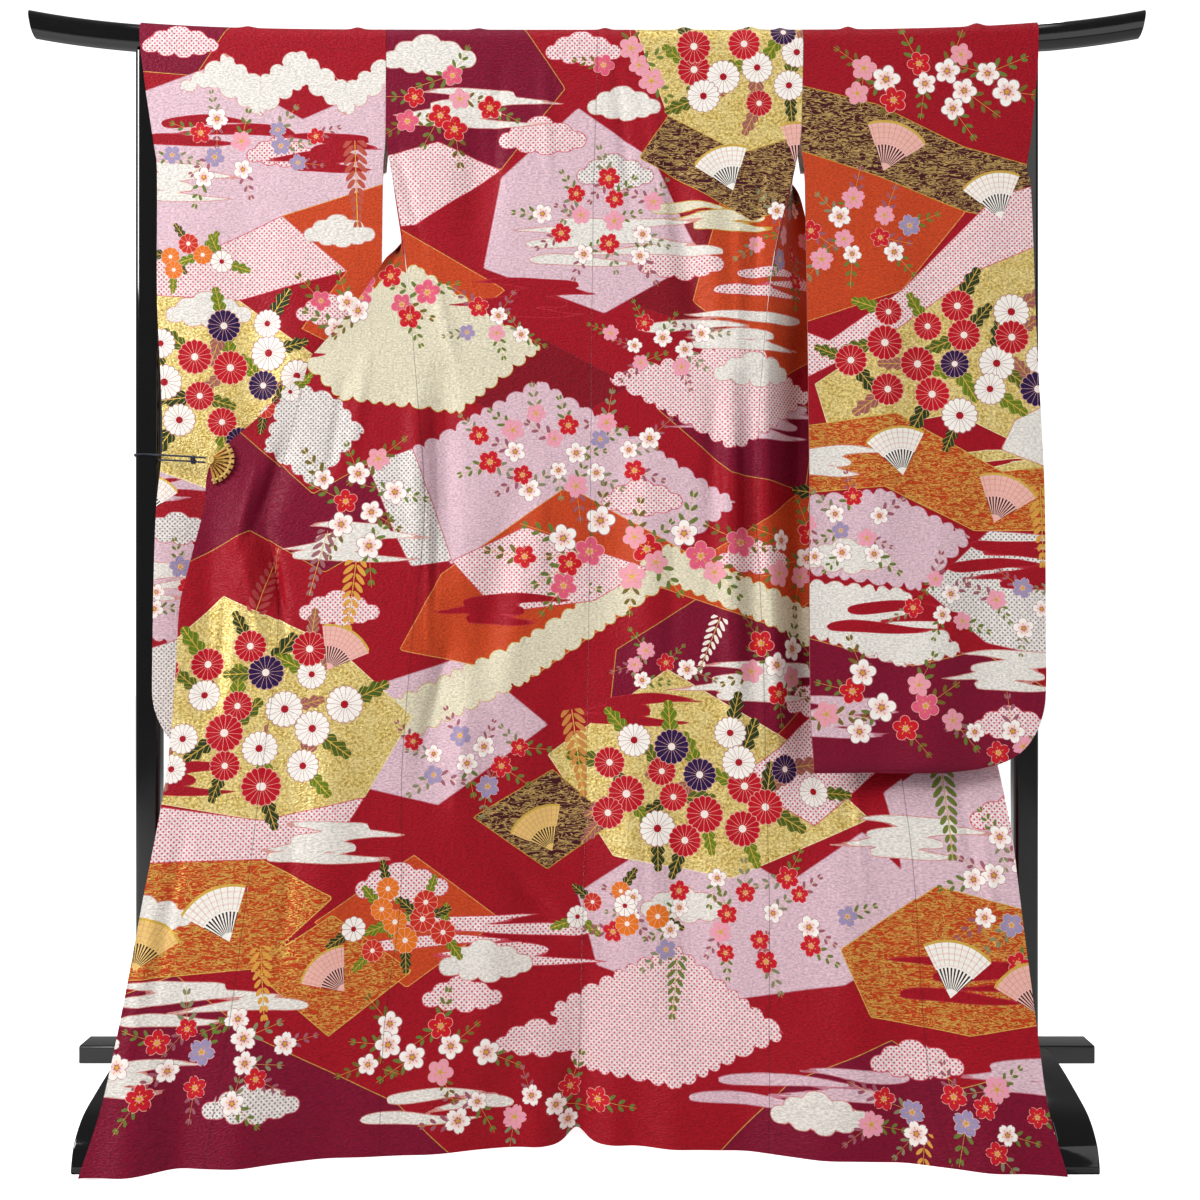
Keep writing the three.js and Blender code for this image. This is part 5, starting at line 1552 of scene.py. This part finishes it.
@effect(MOTIF_SOCKETS, LAID_SOCKETS)
def leaf_spray(n, given):
    """Pairs of slanting oval leaflets along a fine stem, as many as the kind says and shrinking to
    the tip, or where it is one, a single leaf: half a disc's height waved by a sine into lobes."""
    x, y, pairs = n.split(given["Place"])
    off = abs(y)
    tall = (1.0 - n.ramp(x, TAPER.start, 1.0) * TAPER.loss) * (LEAFLET.tall / pairs + LEAFLET.spare)
    slanted = n.fraction((x * 0.5 + 0.5) * pairs - off * pairs * LEAFLET.slant)
    a = (slanted - 0.5) / (pairs * LEAFLET.widens + LEAFLET.wide)
    b = (off - tall * LEAFLET.middle) / (tall * LEAFLET.half)
    stem = off < LEAFLET.stem
    spray = n.larger(a * a + b * b < 1.0, stem) * (abs(x) < 1.0)

    disc = n.math("SQRT", n.math("SUBTRACT", 1.0, x * x, clamp=True))
    lobes = abs(n.math("SINE", x * LOBED.lobes)) * LOBED.depth + LOBED.least
    ripple = n.math("SINE", (off * LOBED.slant + x) * LOBED.veins)
    veins = n.larger(off < LOBED.vein, ripple > LOBED.thin)

    single = pairs < 1.5
    mask = n.between(single, spray, off < disc * lobes)
    gold = n.between(single, stem, veins)
    return laid(n, given, mask, n.mix(gold * 0.9, given["Tint"], DYES["gold_thread"]), gold)


PRINT = Sizes(
    pivot=0.8, radius=1.62, half_turn=0.66, folds=7.6, sticks=0.52, gap=0.27, bound=0.16, crease=0.05,
    paper=0.55, rim=0.95, rings=60.0,
)


@effect(MOTIF_SOCKETS, LAID_SOCKETS)
def folded_fan(n, given):
    """A spread fan, by the reach and turn from its pivot: paper with folds over bare sticks with
    dark gaps, and a gold rim."""
    x, y, _ = n.split(given["Place"])
    up = y + PRINT.pivot
    reach = n.distance(x, up) / PRINT.radius
    turn = n.math("ARCTAN2", x, up)
    mask = (abs(turn) < PRINT.half_turn) * (reach < 1.0)
    share = abs(n.fraction(turn * PRINT.folds) - 0.5)
    paper = reach > PRINT.paper
    gap = (share > PRINT.gap) * (reach < PRINT.sticks) * (reach > PRINT.bound)
    rings = n.ramp(n.math("SINE", reach * PRINT.rings), 0.5, 0.8)
    rim = reach > PRINT.rim
    colour = n.mix((share < PRINT.crease) * paper * 0.7, given["Tint"], DYES["fold"])
    colour = n.mix(rings * paper * 0.25, colour, DYES["print"])
    colour = n.mix(gap, colour, DYES["gap"])
    return laid(n, given, mask, n.mix(rim, colour, DYES["gold_thread"]), rim)


def shaded(name, roughness, **own):
    """A material with its nodes and its shader, and constants set on the shader's own sockets."""
    made = bpy.data.materials.new(name)
    made.use_nodes = True
    shader = made.node_tree.nodes["Principled BSDF"]
    shader.inputs["Roughness"].default_value = roughness
    for word, value in own.items():
        shader.inputs[word.replace("_", " ")].default_value = value
    return made, Nodes(made.node_tree), shader.inputs


def raised(n, height, distance):
    """The bump of a height, for the shader's normal."""
    return n.node("Bump", {"Height": height, "Distance": distance})[0]


BUMP = Sizes(silk=0.00045, lining=0.0002, lacquer=0.0002, gilt=0.00005, cord=0.0002)


def silk(name):
    """Painted crepe: the ground of fields, then leaves, blossoms and fans laid on it in layers, with
    painted shade along the seams.
    """
    made, n, shader = shaded(name, 0.45, Sheen_Weight=0.06, Sheen_Roughness=0.4, Specular_IOR_Level=0.3)
    grain = n.group(crepe_grain(), {"Cloth": n.plane("flat_cloth")})
    inputs = {word: n.attribute(f"fields_{k}") for k, word in enumerate(FIELD_SOCKETS)}
    inputs |= {"Plane": n.plane("design_plane"), "Damask": grain["Damask"], "Slub": grain["Slub"]}
    inputs["Ground"] = (*bpy.context.scene.kimono_cloth.ground, 1)
    ground = n.group(painted_ground(), inputs)
    laid_on = {"Color": ground["Color"], "Metallic": ground["Metallic"]}
    for layers, tree in ((LEAF_LAYERS, leaf_spray()), (BLOOM_LAYERS, blossom()), (("fan",), folded_fan())):
        for layer in layers:
            motif = {"Place": n.attribute(layer), "Tint": n.attribute(layer + "_tint", "Color")}
            found = n.group(tree, laid_on | motif)
            laid_on = {"Color": found["Color"], "Metallic": found["Metallic"]}
    # painted shade along the seams: the cloth darkened towards a dark red where a seam is marked
    seam_shade = n.attribute("seam", "Fac") * 0.6
    n.feed(shader["Base Color"], n.mix(seam_shade, laid_on["Color"], DYES["seam"]))
    n.feed(shader["Metallic"], laid_on["Metallic"])
    n.feed(shader["Roughness"], ground["Roughness"])
    n.feed(shader["Normal"], raised(n, grain["Height"], BUMP.silk))
    return made


SKIRT = (0.62, 0.34)  # heights in metres between which the lining changes its dye


def woven(name, dye, skirt):
    """Plain woven silk for the lining and the piping, dyed in another colour towards the hem."""
    made, n, shader = shaded(name, 0.5, Sheen_Weight=0.1)
    grain = n.group(crepe_grain(), {"Cloth": n.plane("flat_cloth")})
    shade = n.mix(n.ramp(n.split(n.place())[2], *SKIRT), (*dye, 1), (*skirt, 1))
    n.feed(shader["Base Color"], n.mix(grain["Damask"] * 0.12, shade, DYES["seam"]))
    n.feed(shader["Normal"], raised(n, grain["Height"], BUMP.lining))
    return made


def lining(name):
    chosen = bpy.context.scene.kimono_cloth
    return woven(name, chosen.lining, chosen.skirt)


def piping(name):
    chosen = bpy.context.scene.kimono_cloth
    return woven(name, chosen.piping, chosen.piping)


def toned(dye, factor=1.0):
    return (*(factor * part for part in dye), 1)


def lacquer(name):
    """Polished black lacquer, with a faint haze and unevenness from noise."""
    dye = bpy.context.scene.kimono_stand.lacquer
    made, n, shader = shaded(name, 0.1, Coat_Weight=0.6, Coat_Roughness=0.03, Specular_IOR_Level=0.5)
    place = n.place()
    haze = n.noise(place, 9.0, 3.0, 0.6)
    n.feed(shader["Base Color"], n.mix(haze, toned(dye), toned(dye, 1.8)))
    n.feed(shader["Roughness"], n.ramp(n.noise(place, 30.0, 4.0), 0.3, 0.8, 0.06, 0.14))
    n.feed(shader["Normal"], raised(n, n.noise(place, 14.0, 2.0), BUMP.lacquer))
    return made


def gilt(name):
    """Rubbed gilding, darker and duller in specks of noise."""
    dye = bpy.context.scene.kimono_clip.gilt
    made, n, shader = shaded(name, 0.4, Metallic=0.8)
    place = n.place()
    worn = n.ramp(n.noise(place, 240.0, 3.0), 0.45, 0.7)
    n.feed(shader["Base Color"], n.mix(worn, toned(dye), toned(dye, 0.6)))
    n.feed(shader["Roughness"], n.ramp(n.noise(place, 420.0, 2.0), 0.3, 0.7, 0.3, 0.48))
    n.feed(shader["Normal"], raised(n, n.noise(place, 900.0, 1.0), BUMP.gilt))
    return made


TWIST = 3200.0  # radians of stripes to a metre


def twisted(name):
    """Cord of twisted strands: slanting stripes, a sine of the place along and across it, that give the
    bump and darken the grooves between strands with painted shade.
    """
    dye = bpy.context.scene.kimono_clip.dye
    made, n, shader = shaded(name, 0.75, Sheen_Weight=0.3)
    x, y, z = n.split(n.place())
    relief_and_shade = n.math("SINE", (x + y + z * 2.0) * TWIST)
    # the dye halved in the grooves between strands: painted shade
    n.feed(shader["Base Color"], n.mix(n.ramp(relief_and_shade, -1.0, 1.0), toned(dye, 0.5), toned(dye)))
    n.feed(shader["Normal"], raised(n, relief_and_shade, BUMP.cord))
    return made


def paper_floor(name):
    """A white studio floor, lit up a little where it is looked at straight."""
    made, n, shader = shaded(name, 0.8, Specular_IOR_Level=0.1, Emission_Color=(1, 1, 1, 1))
    n.feed(shader["Base Color"], n.mix(n.noise(n.place(), 2.0), rgba("F4F4F4"), rgba("FAFAFA")))
    n.feed(shader["Emission Strength"], n.seen_straight() * 0.62)
    return made


MATERIALS = {
    "painted_silk": silk,
    "lining_silk": lining,
    "piping_silk": piping,
    "black_lacquer": lacquer,
    "gilt_metal": gilt,
    "navy_cord": twisted,
    "paper_floor": paper_floor,
}


def material(name):
    return bpy.data.materials.get(name) or MATERIALS[name](name)


# ---- Sheets of cloth ----


BOTH = (0, -1)  # first and last column


def seen(grid):
    """Places in the design's plane, which is the garment as seen from the front."""
    return grid[..., (0, 2)]


def unturned(grid, side):
    """Places in the design's plane of a front: laid out flat beside the back from its side seam."""
    across = np.linalg.norm(np.diff(grid, axis=1), axis=-1)
    out = np.concatenate([np.zeros((len(grid), 1)), np.cumsum(across, 1)], 1)
    return np.stack([grid[:, :1, 0] + side * out, grid[..., 2]], -1)


def sew(name, grid, outer, rests_on=("top_bar",), place=None, layout="body", sewn=(), **how):
    looks = [material(m) for m in ("painted_silk", "lining_silk", "piping_silk")]
    obj, right_side = wall(name + "_cloth", grid, outer, looks, **how)
    place = seen(grid) if place is None else place
    paint(obj, place.reshape(-1, 2), right_side, layout)
    shade_seams(obj, grid.shape[:2], sewn)
    ride(obj, "silk", name)
    return obj


class KIMONO_OT_body(Operator):
    """Hang the back and both fronts"""

    bl_idname = "kimono.body"
    bl_label = "Back and Fronts"

    def execute(self, context):
        shares = spaced(260)
        half = SEAM / 2
        sew("back_left", back_grid(("sideL", 0), ("centre", -half), shares), 1, sewn=BOTH, crested=True)
        sew("back_right", back_grid(("centre", half), ("sideR", 0), shares), 1, sewn=BOTH, crested=True)
        shares = spaced(190)
        for word, side, edge in (("left", -1, LEFT_EDGE), ("right", 1, RIGHT_EDGE)):
            grid = front_grid(side, edge, shares)
            place = unturned(grid, side)
            sew("front_" + word, grid, side, place=place, sewn=BOTH, crested=True)
        return {"FINISHED"}


class KIMONO_OT_overlaps(Operator):
    """Hang both overlaps beside the fronts"""

    bl_idname = "kimono.overlaps"
    bl_label = "Overlaps"

    def execute(self, context):
        shares = spaced(140)
        sew("okumi_left", okumi_grid(-1, LEFT_EDGE, shares), -1, ["front_left"], sewn=(0,))
        sew("okumi_right", okumi_grid(1, RIGHT_EDGE, shares), 1, ["front_right"], sewn=(0,))
        return {"FINISHED"}


class KIMONO_OT_sleeves(Operator):
    """Hang both long sleeves over the bar"""

    bl_idname = "kimono.sleeves"
    bl_label = "Sleeves"

    def execute(self, context):
        shares = spaced(330)
        for word, outer in (("left", 1), ("right", -1)):
            name = "sleeve_" + word
            sew(name, sleeve_grid(SLEEVES[word], shares), outer, layout=name, ring=True)
        return {"FINISHED"}


class KIMONO_OT_collar(Operator):
    """Lay the collar round the neck and down the front edges"""

    bl_idname = "kimono.collar"
    bl_label = "Collar"

    def execute(self, context):
        shares = spaced(COLLAR_WIDTH)
        sew("collar_neck", collar_neck_grid(shares), -1)
        sew("collar_left", collar_low_grid(-1, shares), -1, ["okumi_left"])
        sew("collar_right", collar_low_grid(1, shares), 1, ["okumi_right"])
        return {"FINISHED"}


# ---- Stand ----


def rounded_rectangle(width, height, radius, arc=8):
    """Points round a rectangle with round corners, against the clock."""
    turn = np.linspace(0, np.pi / 2, arc)
    points = []
    for quarter in range(4):
        cx = (width / 2 - radius) * (1, -1, -1, 1)[quarter]
        cy = (height / 2 - radius) * (1, 1, -1, -1)[quarter]
        angle = turn + quarter * np.pi / 2
        points.append(np.stack([cx + radius * np.cos(angle), cy + radius * np.sin(angle)], 1))
    return np.concatenate(points)


def lofted(name, rings, look, slot, nodes):
    """Rings of points joined in order, with a fan on each end."""
    count, around = rings.shape[:2]
    i, j = np.meshgrid(np.arange(count - 1), np.arange(around), indexing="ij")
    i, j = i.ravel(), j.ravel()
    k = (j + 1) % around
    quads = np.stack([i * around + j, i * around + k, (i + 1) * around + k, (i + 1) * around + j], 1)
    points = rings.reshape(-1, 3)
    if signed_volume(points, quads) < 0:
        quads = quads[:, ::-1]
        ends = [list(range(around)), list(range(count * around - 1, (count - 1) * around - 1, -1))]
    else:
        ends = [list(range(around))[::-1], list(range((count - 1) * around, count * around))]
    obj = put(name, points, quads.tolist() + ends, [material(look)])
    obj.data.set_sharp_from_angle(angle=SHARP)
    return ride(obj, slot, *nodes)


def top_bar_rings(length, height):
    """The bar's round section along its length, curving up to ends that are cut at a slant."""
    section = rounded_rectangle(BAR.depth, height, BAR.depth / 2 - BAR.flat, 12)
    spread = np.linspace(-1, 1, BAR_RINGS)[:, None]
    slant = (section[:, 1] / height - 0.5) * BAR.slant
    x = spread * length / 2 + np.sign(spread) * spread**BAR_CUT * slant
    return points_at(x, section[:, 0], bar_level(x) + section[:, 1])


def rail_rings():
    """The lower rail's section, drawn in a little at both ends."""
    section = rounded_rectangle(RAIL.depth, RAIL.top - RAIL.bottom, RAIL.round)
    x = np.array([-1, -RAIL.end, RAIL.end, 1]) * RAIL.half
    inset = np.array([RAIL.drawn, 1, 1, RAIL.drawn])[:, None]
    y, z = section[:, 0] * inset, (RAIL.top + RAIL.bottom) / 2 + section[:, 1] * inset
    return points_at(x[:, None], y, z)


def post_rings(side, width, depth):
    """A straight round-cornered post between the rail and the bar."""
    top = bar_level(POST.x - width / 2) - BAR.height / 2 - SEAM
    section = rounded_rectangle(width, depth, POST.round)
    z = np.array([RAIL.top + SEAM, top])[:, None]
    return points_at(side * POST.x + section[:, 0], section[:, 1], z)


def foot_rings(side, width):
    """A round-cornered section along the foot, as high as its curved profile, with a seat for the
    rail in the middle and toes that slant back to the floor."""
    curve = through([(reach, height, 0) for reach, height in FOOT_PROFILE], 8)
    reach, height = curve[:, 0], curve[:, 1]
    seat = RAIL.bottom - SEAM
    y = np.concatenate([-reach[::-1], [-reach[0] + MM, reach[0] - MM], reach])
    tall = np.concatenate([height[::-1], [seat, seat], height])
    rings = []
    for at, top in zip(y, tall):
        section = rounded_rectangle(width, top, min(FOOT.round, top / 3))
        z = section[:, 1] + top / 2
        toe = (abs(at) == reach[-1]) * (reach[-1] - FOOT_TOE[0]) * (1 - z / top)
        rings.append(np.stack([side * POST.x + section[:, 0], at - np.sign(at) * toe, z], -1))
    return np.array(rings)


class KIMONO_OT_stand(Operator):
    """Build the lacquered stand: bar, posts, rail and feet"""

    bl_idname = "kimono.stand"
    bl_label = "Stand"

    def execute(self, context):
        sizes = context.scene.kimono_stand
        bar = top_bar_rings(sizes.bar_length / MM, sizes.bar_height / MM)
        lofted("top_bar_lacquer", bar, "black_lacquer", "lacquer", ["top_bar"])
        lofted("lower_rail_lacquer", rail_rings(), "black_lacquer", "lacquer", ["lower_rail"])
        for word, side in (("left", -1), ("right", 1)):
            post = post_rings(side, sizes.post_width / MM, sizes.post_depth / MM)
            lofted(f"post_{word}_lacquer", post, "black_lacquer", "lacquer", [f"post_{word}"])
            foot = foot_rings(side, sizes.foot_width / MM)
            lofted(f"foot_{word}_lacquer", foot, "black_lacquer", "lacquer", [f"foot_{word}"])
        return {"FINISHED"}


# ---- Clip and cord ----

CLIP_TURN = Sizes(start=45, stop=-82, tilt=-7)  # degrees: the fan's two sides, and its lean
CLIP_SEAT = 10.0  # how far towards the middle from the pivot the fan touches the cloth
FAN_LIFT = 6.9  # from the cloth's middle to the fan's
# A rib: how much of its room it takes, the reach of its rings as shares of the radius, and how
# proud its ridge stands there as shares of the pleat.
RIB = Sizes(share=0.72, reach=(0.1, 0.45, 0.97, 1.0), proud=(0.3, 0.7, 1.0, 0.6))
BANDS = [(0.06, 0.2, 1.5), (0.8, 0.88, 1.1)]  # hoops round the ribs: inside, outside, how proud
BAND_BACK = 0.7
KNOT = Sizes(at=(-533, -55.6, 896.8), radius=4.4, thick=1.5, half=2.4, flat=0.62, turns=3)
KNOT_POINTS = 73


def tube(path, radius, sides=12):
    """A round section carried along a path on frames turned as little as possible."""
    path = np.asarray(path, float)
    tangent = unit(np.gradient(path, axis=0))
    normal = np.cross(tangent[0], (0.3, 0.1, 1.0))
    rings = []
    angle = np.linspace(0, 2 * np.pi, sides, endpoint=False)
    for point, way in zip(path, tangent):
        normal = unit(normal - way * np.dot(normal, way))
        other = np.cross(way, normal)
        rings.append(point + radius * (np.cos(angle)[:, None] * normal + np.sin(angle)[:, None] * other))
    return np.array(rings)


def through(points, per):
    """A smooth path through points by Catmull-Rom curves."""
    grid = np.asarray(points, float)[:, None, :]
    return refined(grid, per)[:, 0]


def ribbon_quads(rings):
    """Quads round a ribbon of four-cornered rings, and one on each end."""
    a, m = (part.ravel() for part in np.meshgrid(4 * np.arange(rings - 1), np.arange(4), indexing="ij"))
    after = (m + 1) % 4
    sides = np.stack([a + m, a + after, a + 4 + after, a + 4 + m], 1)
    last = 4 * (rings - 1)
    return np.concatenate([sides, [(3, 2, 1, 0), (last, last + 1, last + 2, last + 3)]])


def polar(reach, depth, turn):
    """Points round the pivot, by their reach and turn in the fan's plane."""
    return points_at(reach * np.cos(turn), depth, reach * np.sin(turn)).reshape(-1, 3)


def fan_faces(radius, ribs):
    """Roof-shaped ribs spread round a pivot on two hoops, as points and quads. Each rib widens
    outwards, and its ridge stands proud by the pleat."""
    step = (CLIP_TURN.stop - CLIP_TURN.start) / ribs
    middle = np.radians(CLIP_TURN.start + (np.arange(ribs) + 0.5) * step)[:, None, None]
    half = abs(math.radians(step)) / 2 * RIB.share
    reach = np.array(RIB.reach)[:, None] * radius
    proud = np.array(RIB.proud)[:, None] * CLIP.pleat + CLIP.thick / 2
    across, up = np.array([-1, 0, 1, 0]), np.array([0, 1, 0, -1])
    depth = np.where(up > 0, -proud, -up * CLIP.thick / 2)
    shapes = list(np.split(polar(reach, depth, middle - across * half), ribs))
    turns = np.radians(np.linspace(CLIP_TURN.start, CLIP_TURN.stop, 4 * ribs + 1))[:, None]
    for low, high, stand in BANDS:
        share, depth = np.array([low, high, high, low]), np.array([-stand, -stand, BAND_BACK, BAND_BACK])
        shapes.append(polar(share * radius, depth, turns))
    quads, first = [], 0
    for points in shapes:
        quads.append(ribbon_quads(len(points) // 4) + first)
        first += len(points)
    return np.concatenate(shapes), np.concatenate(quads)


class KIMONO_OT_clip(Operator):
    """Put on the fan clip and its cord"""

    bl_idname = "kimono.clip"
    bl_label = "Clip and Cord"

    def execute(self, context):
        sizes = context.scene.kimono_clip
        path = through(CORD_ROUTE, 5)
        strand = tube(path, sizes.cord / MM / 2)
        obj = lofted("clip_cord_strand", strand, "navy_cord", "cord", ["clip_cord"])
        turn = np.linspace(0, 2 * np.pi * KNOT.turns, KNOT_POINTS)
        along = np.linspace(-KNOT.half, KNOT.half, KNOT_POINTS)
        round_it = [KNOT.radius * KNOT.flat * np.cos(turn), KNOT.radius * np.sin(turn)]
        coil = np.stack([along, *round_it], -1) + np.array(KNOT.at)
        lofted("clip_cord_knot", tube(coil, KNOT.thick), "navy_cord", "cord", [])

        points, quads = fan_faces(sizes.radius / MM, sizes.ribs)
        tilt = math.radians(CLIP_TURN.tilt)
        y = points[:, 1] * math.cos(tilt) - points[:, 2] * math.sin(tilt)
        z = points[:, 1] * math.sin(tilt) + points[:, 2] * math.cos(tilt)
        cloth = float(cloth_depth(np.array(CLIP.x + CLIP_SEAT), np.array(float(CLIP.z))))
        depth = cloth + COLLAR_LOW.off / 2 - FAN_LIFT
        place = np.stack([points[:, 0] + CLIP.x, y + depth, z + CLIP.z], 1)
        fan = put("clip_fan_ribs", place, quads, [material("gilt_metal")], smoothed=False)
        ride(fan, "gold_metal", "clip_fan")
        jaws = frame["nodes"]["clip_jaws"].data
        jaws.materials.clear()
        jaws.materials.append(material("gilt_metal"))
        return {"FINISHED"}


# ---- Stage ----


CAMERA_AT = (0.018, -2.1, 0.707)  # from the stand's plane, in metres
LAMP_AIM = (0, 0, 0.75)
# Each lamp: where it stands, its size, which power it has and how many times that.
LAMPS = {
    "key": ((-2.6, -1.8, 2.3), 1.3, "key", 1),
    "fill": ((2.3, -2.6, 1.6), 2.0, "fill", 1),
    "top": ((0.0, -0.8, 3.4), 2.2, "fill", 2),
    "behind": ((0.4, 2.6, 2.4), 2.0, "fill", 5),
}
FLOOR_REACH = 9.0


def lamp(name, place, size, power):
    """A square lamp that points at the middle of the garment."""
    light = bpy.data.lights.new(name, "AREA")
    light.size, light.energy = size, power
    obj = bpy.data.objects.new(name, light)
    obj.location = place
    x, y, z = (to - at for to, at in zip(LAMP_AIM, place))
    obj.rotation_euler = (math.atan2(math.hypot(x, y), -z), 0, math.atan2(y, x) - math.pi / 2)
    bpy.context.scene.collection.objects.link(obj)


class KIMONO_OT_stage(Operator):
    """Set the camera, the floor and the soft lights"""

    bl_idname = "kimono.stage"
    bl_label = "Stage"

    def execute(self, context):
        scene = context.scene
        chosen = scene.kimono_stage
        data = bpy.data.cameras.new("camera")
        data.lens, data.sensor_width = chosen.lens, 36
        camera = bpy.data.objects.new("camera", data)
        camera.location = (CAMERA_AT[0], CAMERA_AT[1] + STAND_Y, CAMERA_AT[2])
        camera.rotation_euler = (math.pi / 2, 0, 0)
        scene.collection.objects.link(camera)
        scene.camera = camera
        scene.view_settings.view_transform = "Standard"
        scene.view_settings.look = "Medium High Contrast"

        world = bpy.data.worlds.new("studio")
        world.use_nodes = True
        sky = Nodes(world.node_tree)
        background = world.node_tree.nodes["Background"].inputs
        background["Color"].default_value = (1, 1, 1, 1)
        sky.feed(background["Strength"], sky.between(sky.seen_straight(), chosen.sky, 1.0))
        scene.world = world

        corners = [(x * FLOOR_REACH, y * FLOOR_REACH, 0) for x, y in ((-1, -1), (1, -1), (1, 1), (-1, 1))]
        mesh = bpy.data.meshes.new("floor")
        mesh.from_pydata(corners, [], [(0, 1, 2, 3)])
        mesh.materials.append(material("paper_floor"))
        floor = bpy.data.objects.new("floor", mesh)
        scene.collection.objects.link(floor)

        for name, (place, size, power, times) in LAMPS.items():
            lamp(name, place, size, times * getattr(chosen, power))
        return {"FINISHED"}


OPERATORS = [
    KIMONO_OT_stage,
    KIMONO_OT_clip,
    KIMONO_OT_body,
    KIMONO_OT_overlaps,
    KIMONO_OT_sleeves,
    KIMONO_OT_collar,
    KIMONO_OT_stand,
]


class KIMONO_PT_panel(Panel):
    """The kimono's pieces, in the order in which they are made"""

    bl_label = "Kimono"
    bl_space_type = "VIEW_3D"
    bl_region_type = "UI"
    bl_category = "Kimono"

    def draw(self, context):
        for operator in OPERATORS:
            self.layout.operator(operator.bl_idname)


GROUPS = {
    "kimono_cloth": KIMONO_PG_cloth,
    "kimono_clip": KIMONO_PG_clip,
    "kimono_stand": KIMONO_PG_stand,
    "kimono_stage": KIMONO_PG_stage,
}
CLASSES = [*GROUPS.values(), *OPERATORS, KIMONO_PT_panel]


def register():
    for cls in CLASSES:
        bpy.utils.register_class(cls)
    for name, group in GROUPS.items():
        setattr(bpy.types.Scene, name, PointerProperty(type=group))


def unregister():
    for name in GROUPS:
        delattr(bpy.types.Scene, name)
    for cls in reversed(CLASSES):
        bpy.utils.unregister_class(cls)


def main():
    register()
    for operator in OPERATORS:
        group, name = operator.bl_idname.split(".")
        getattr(getattr(bpy.ops, group), name)()


if __name__ == "__main__":
    main()
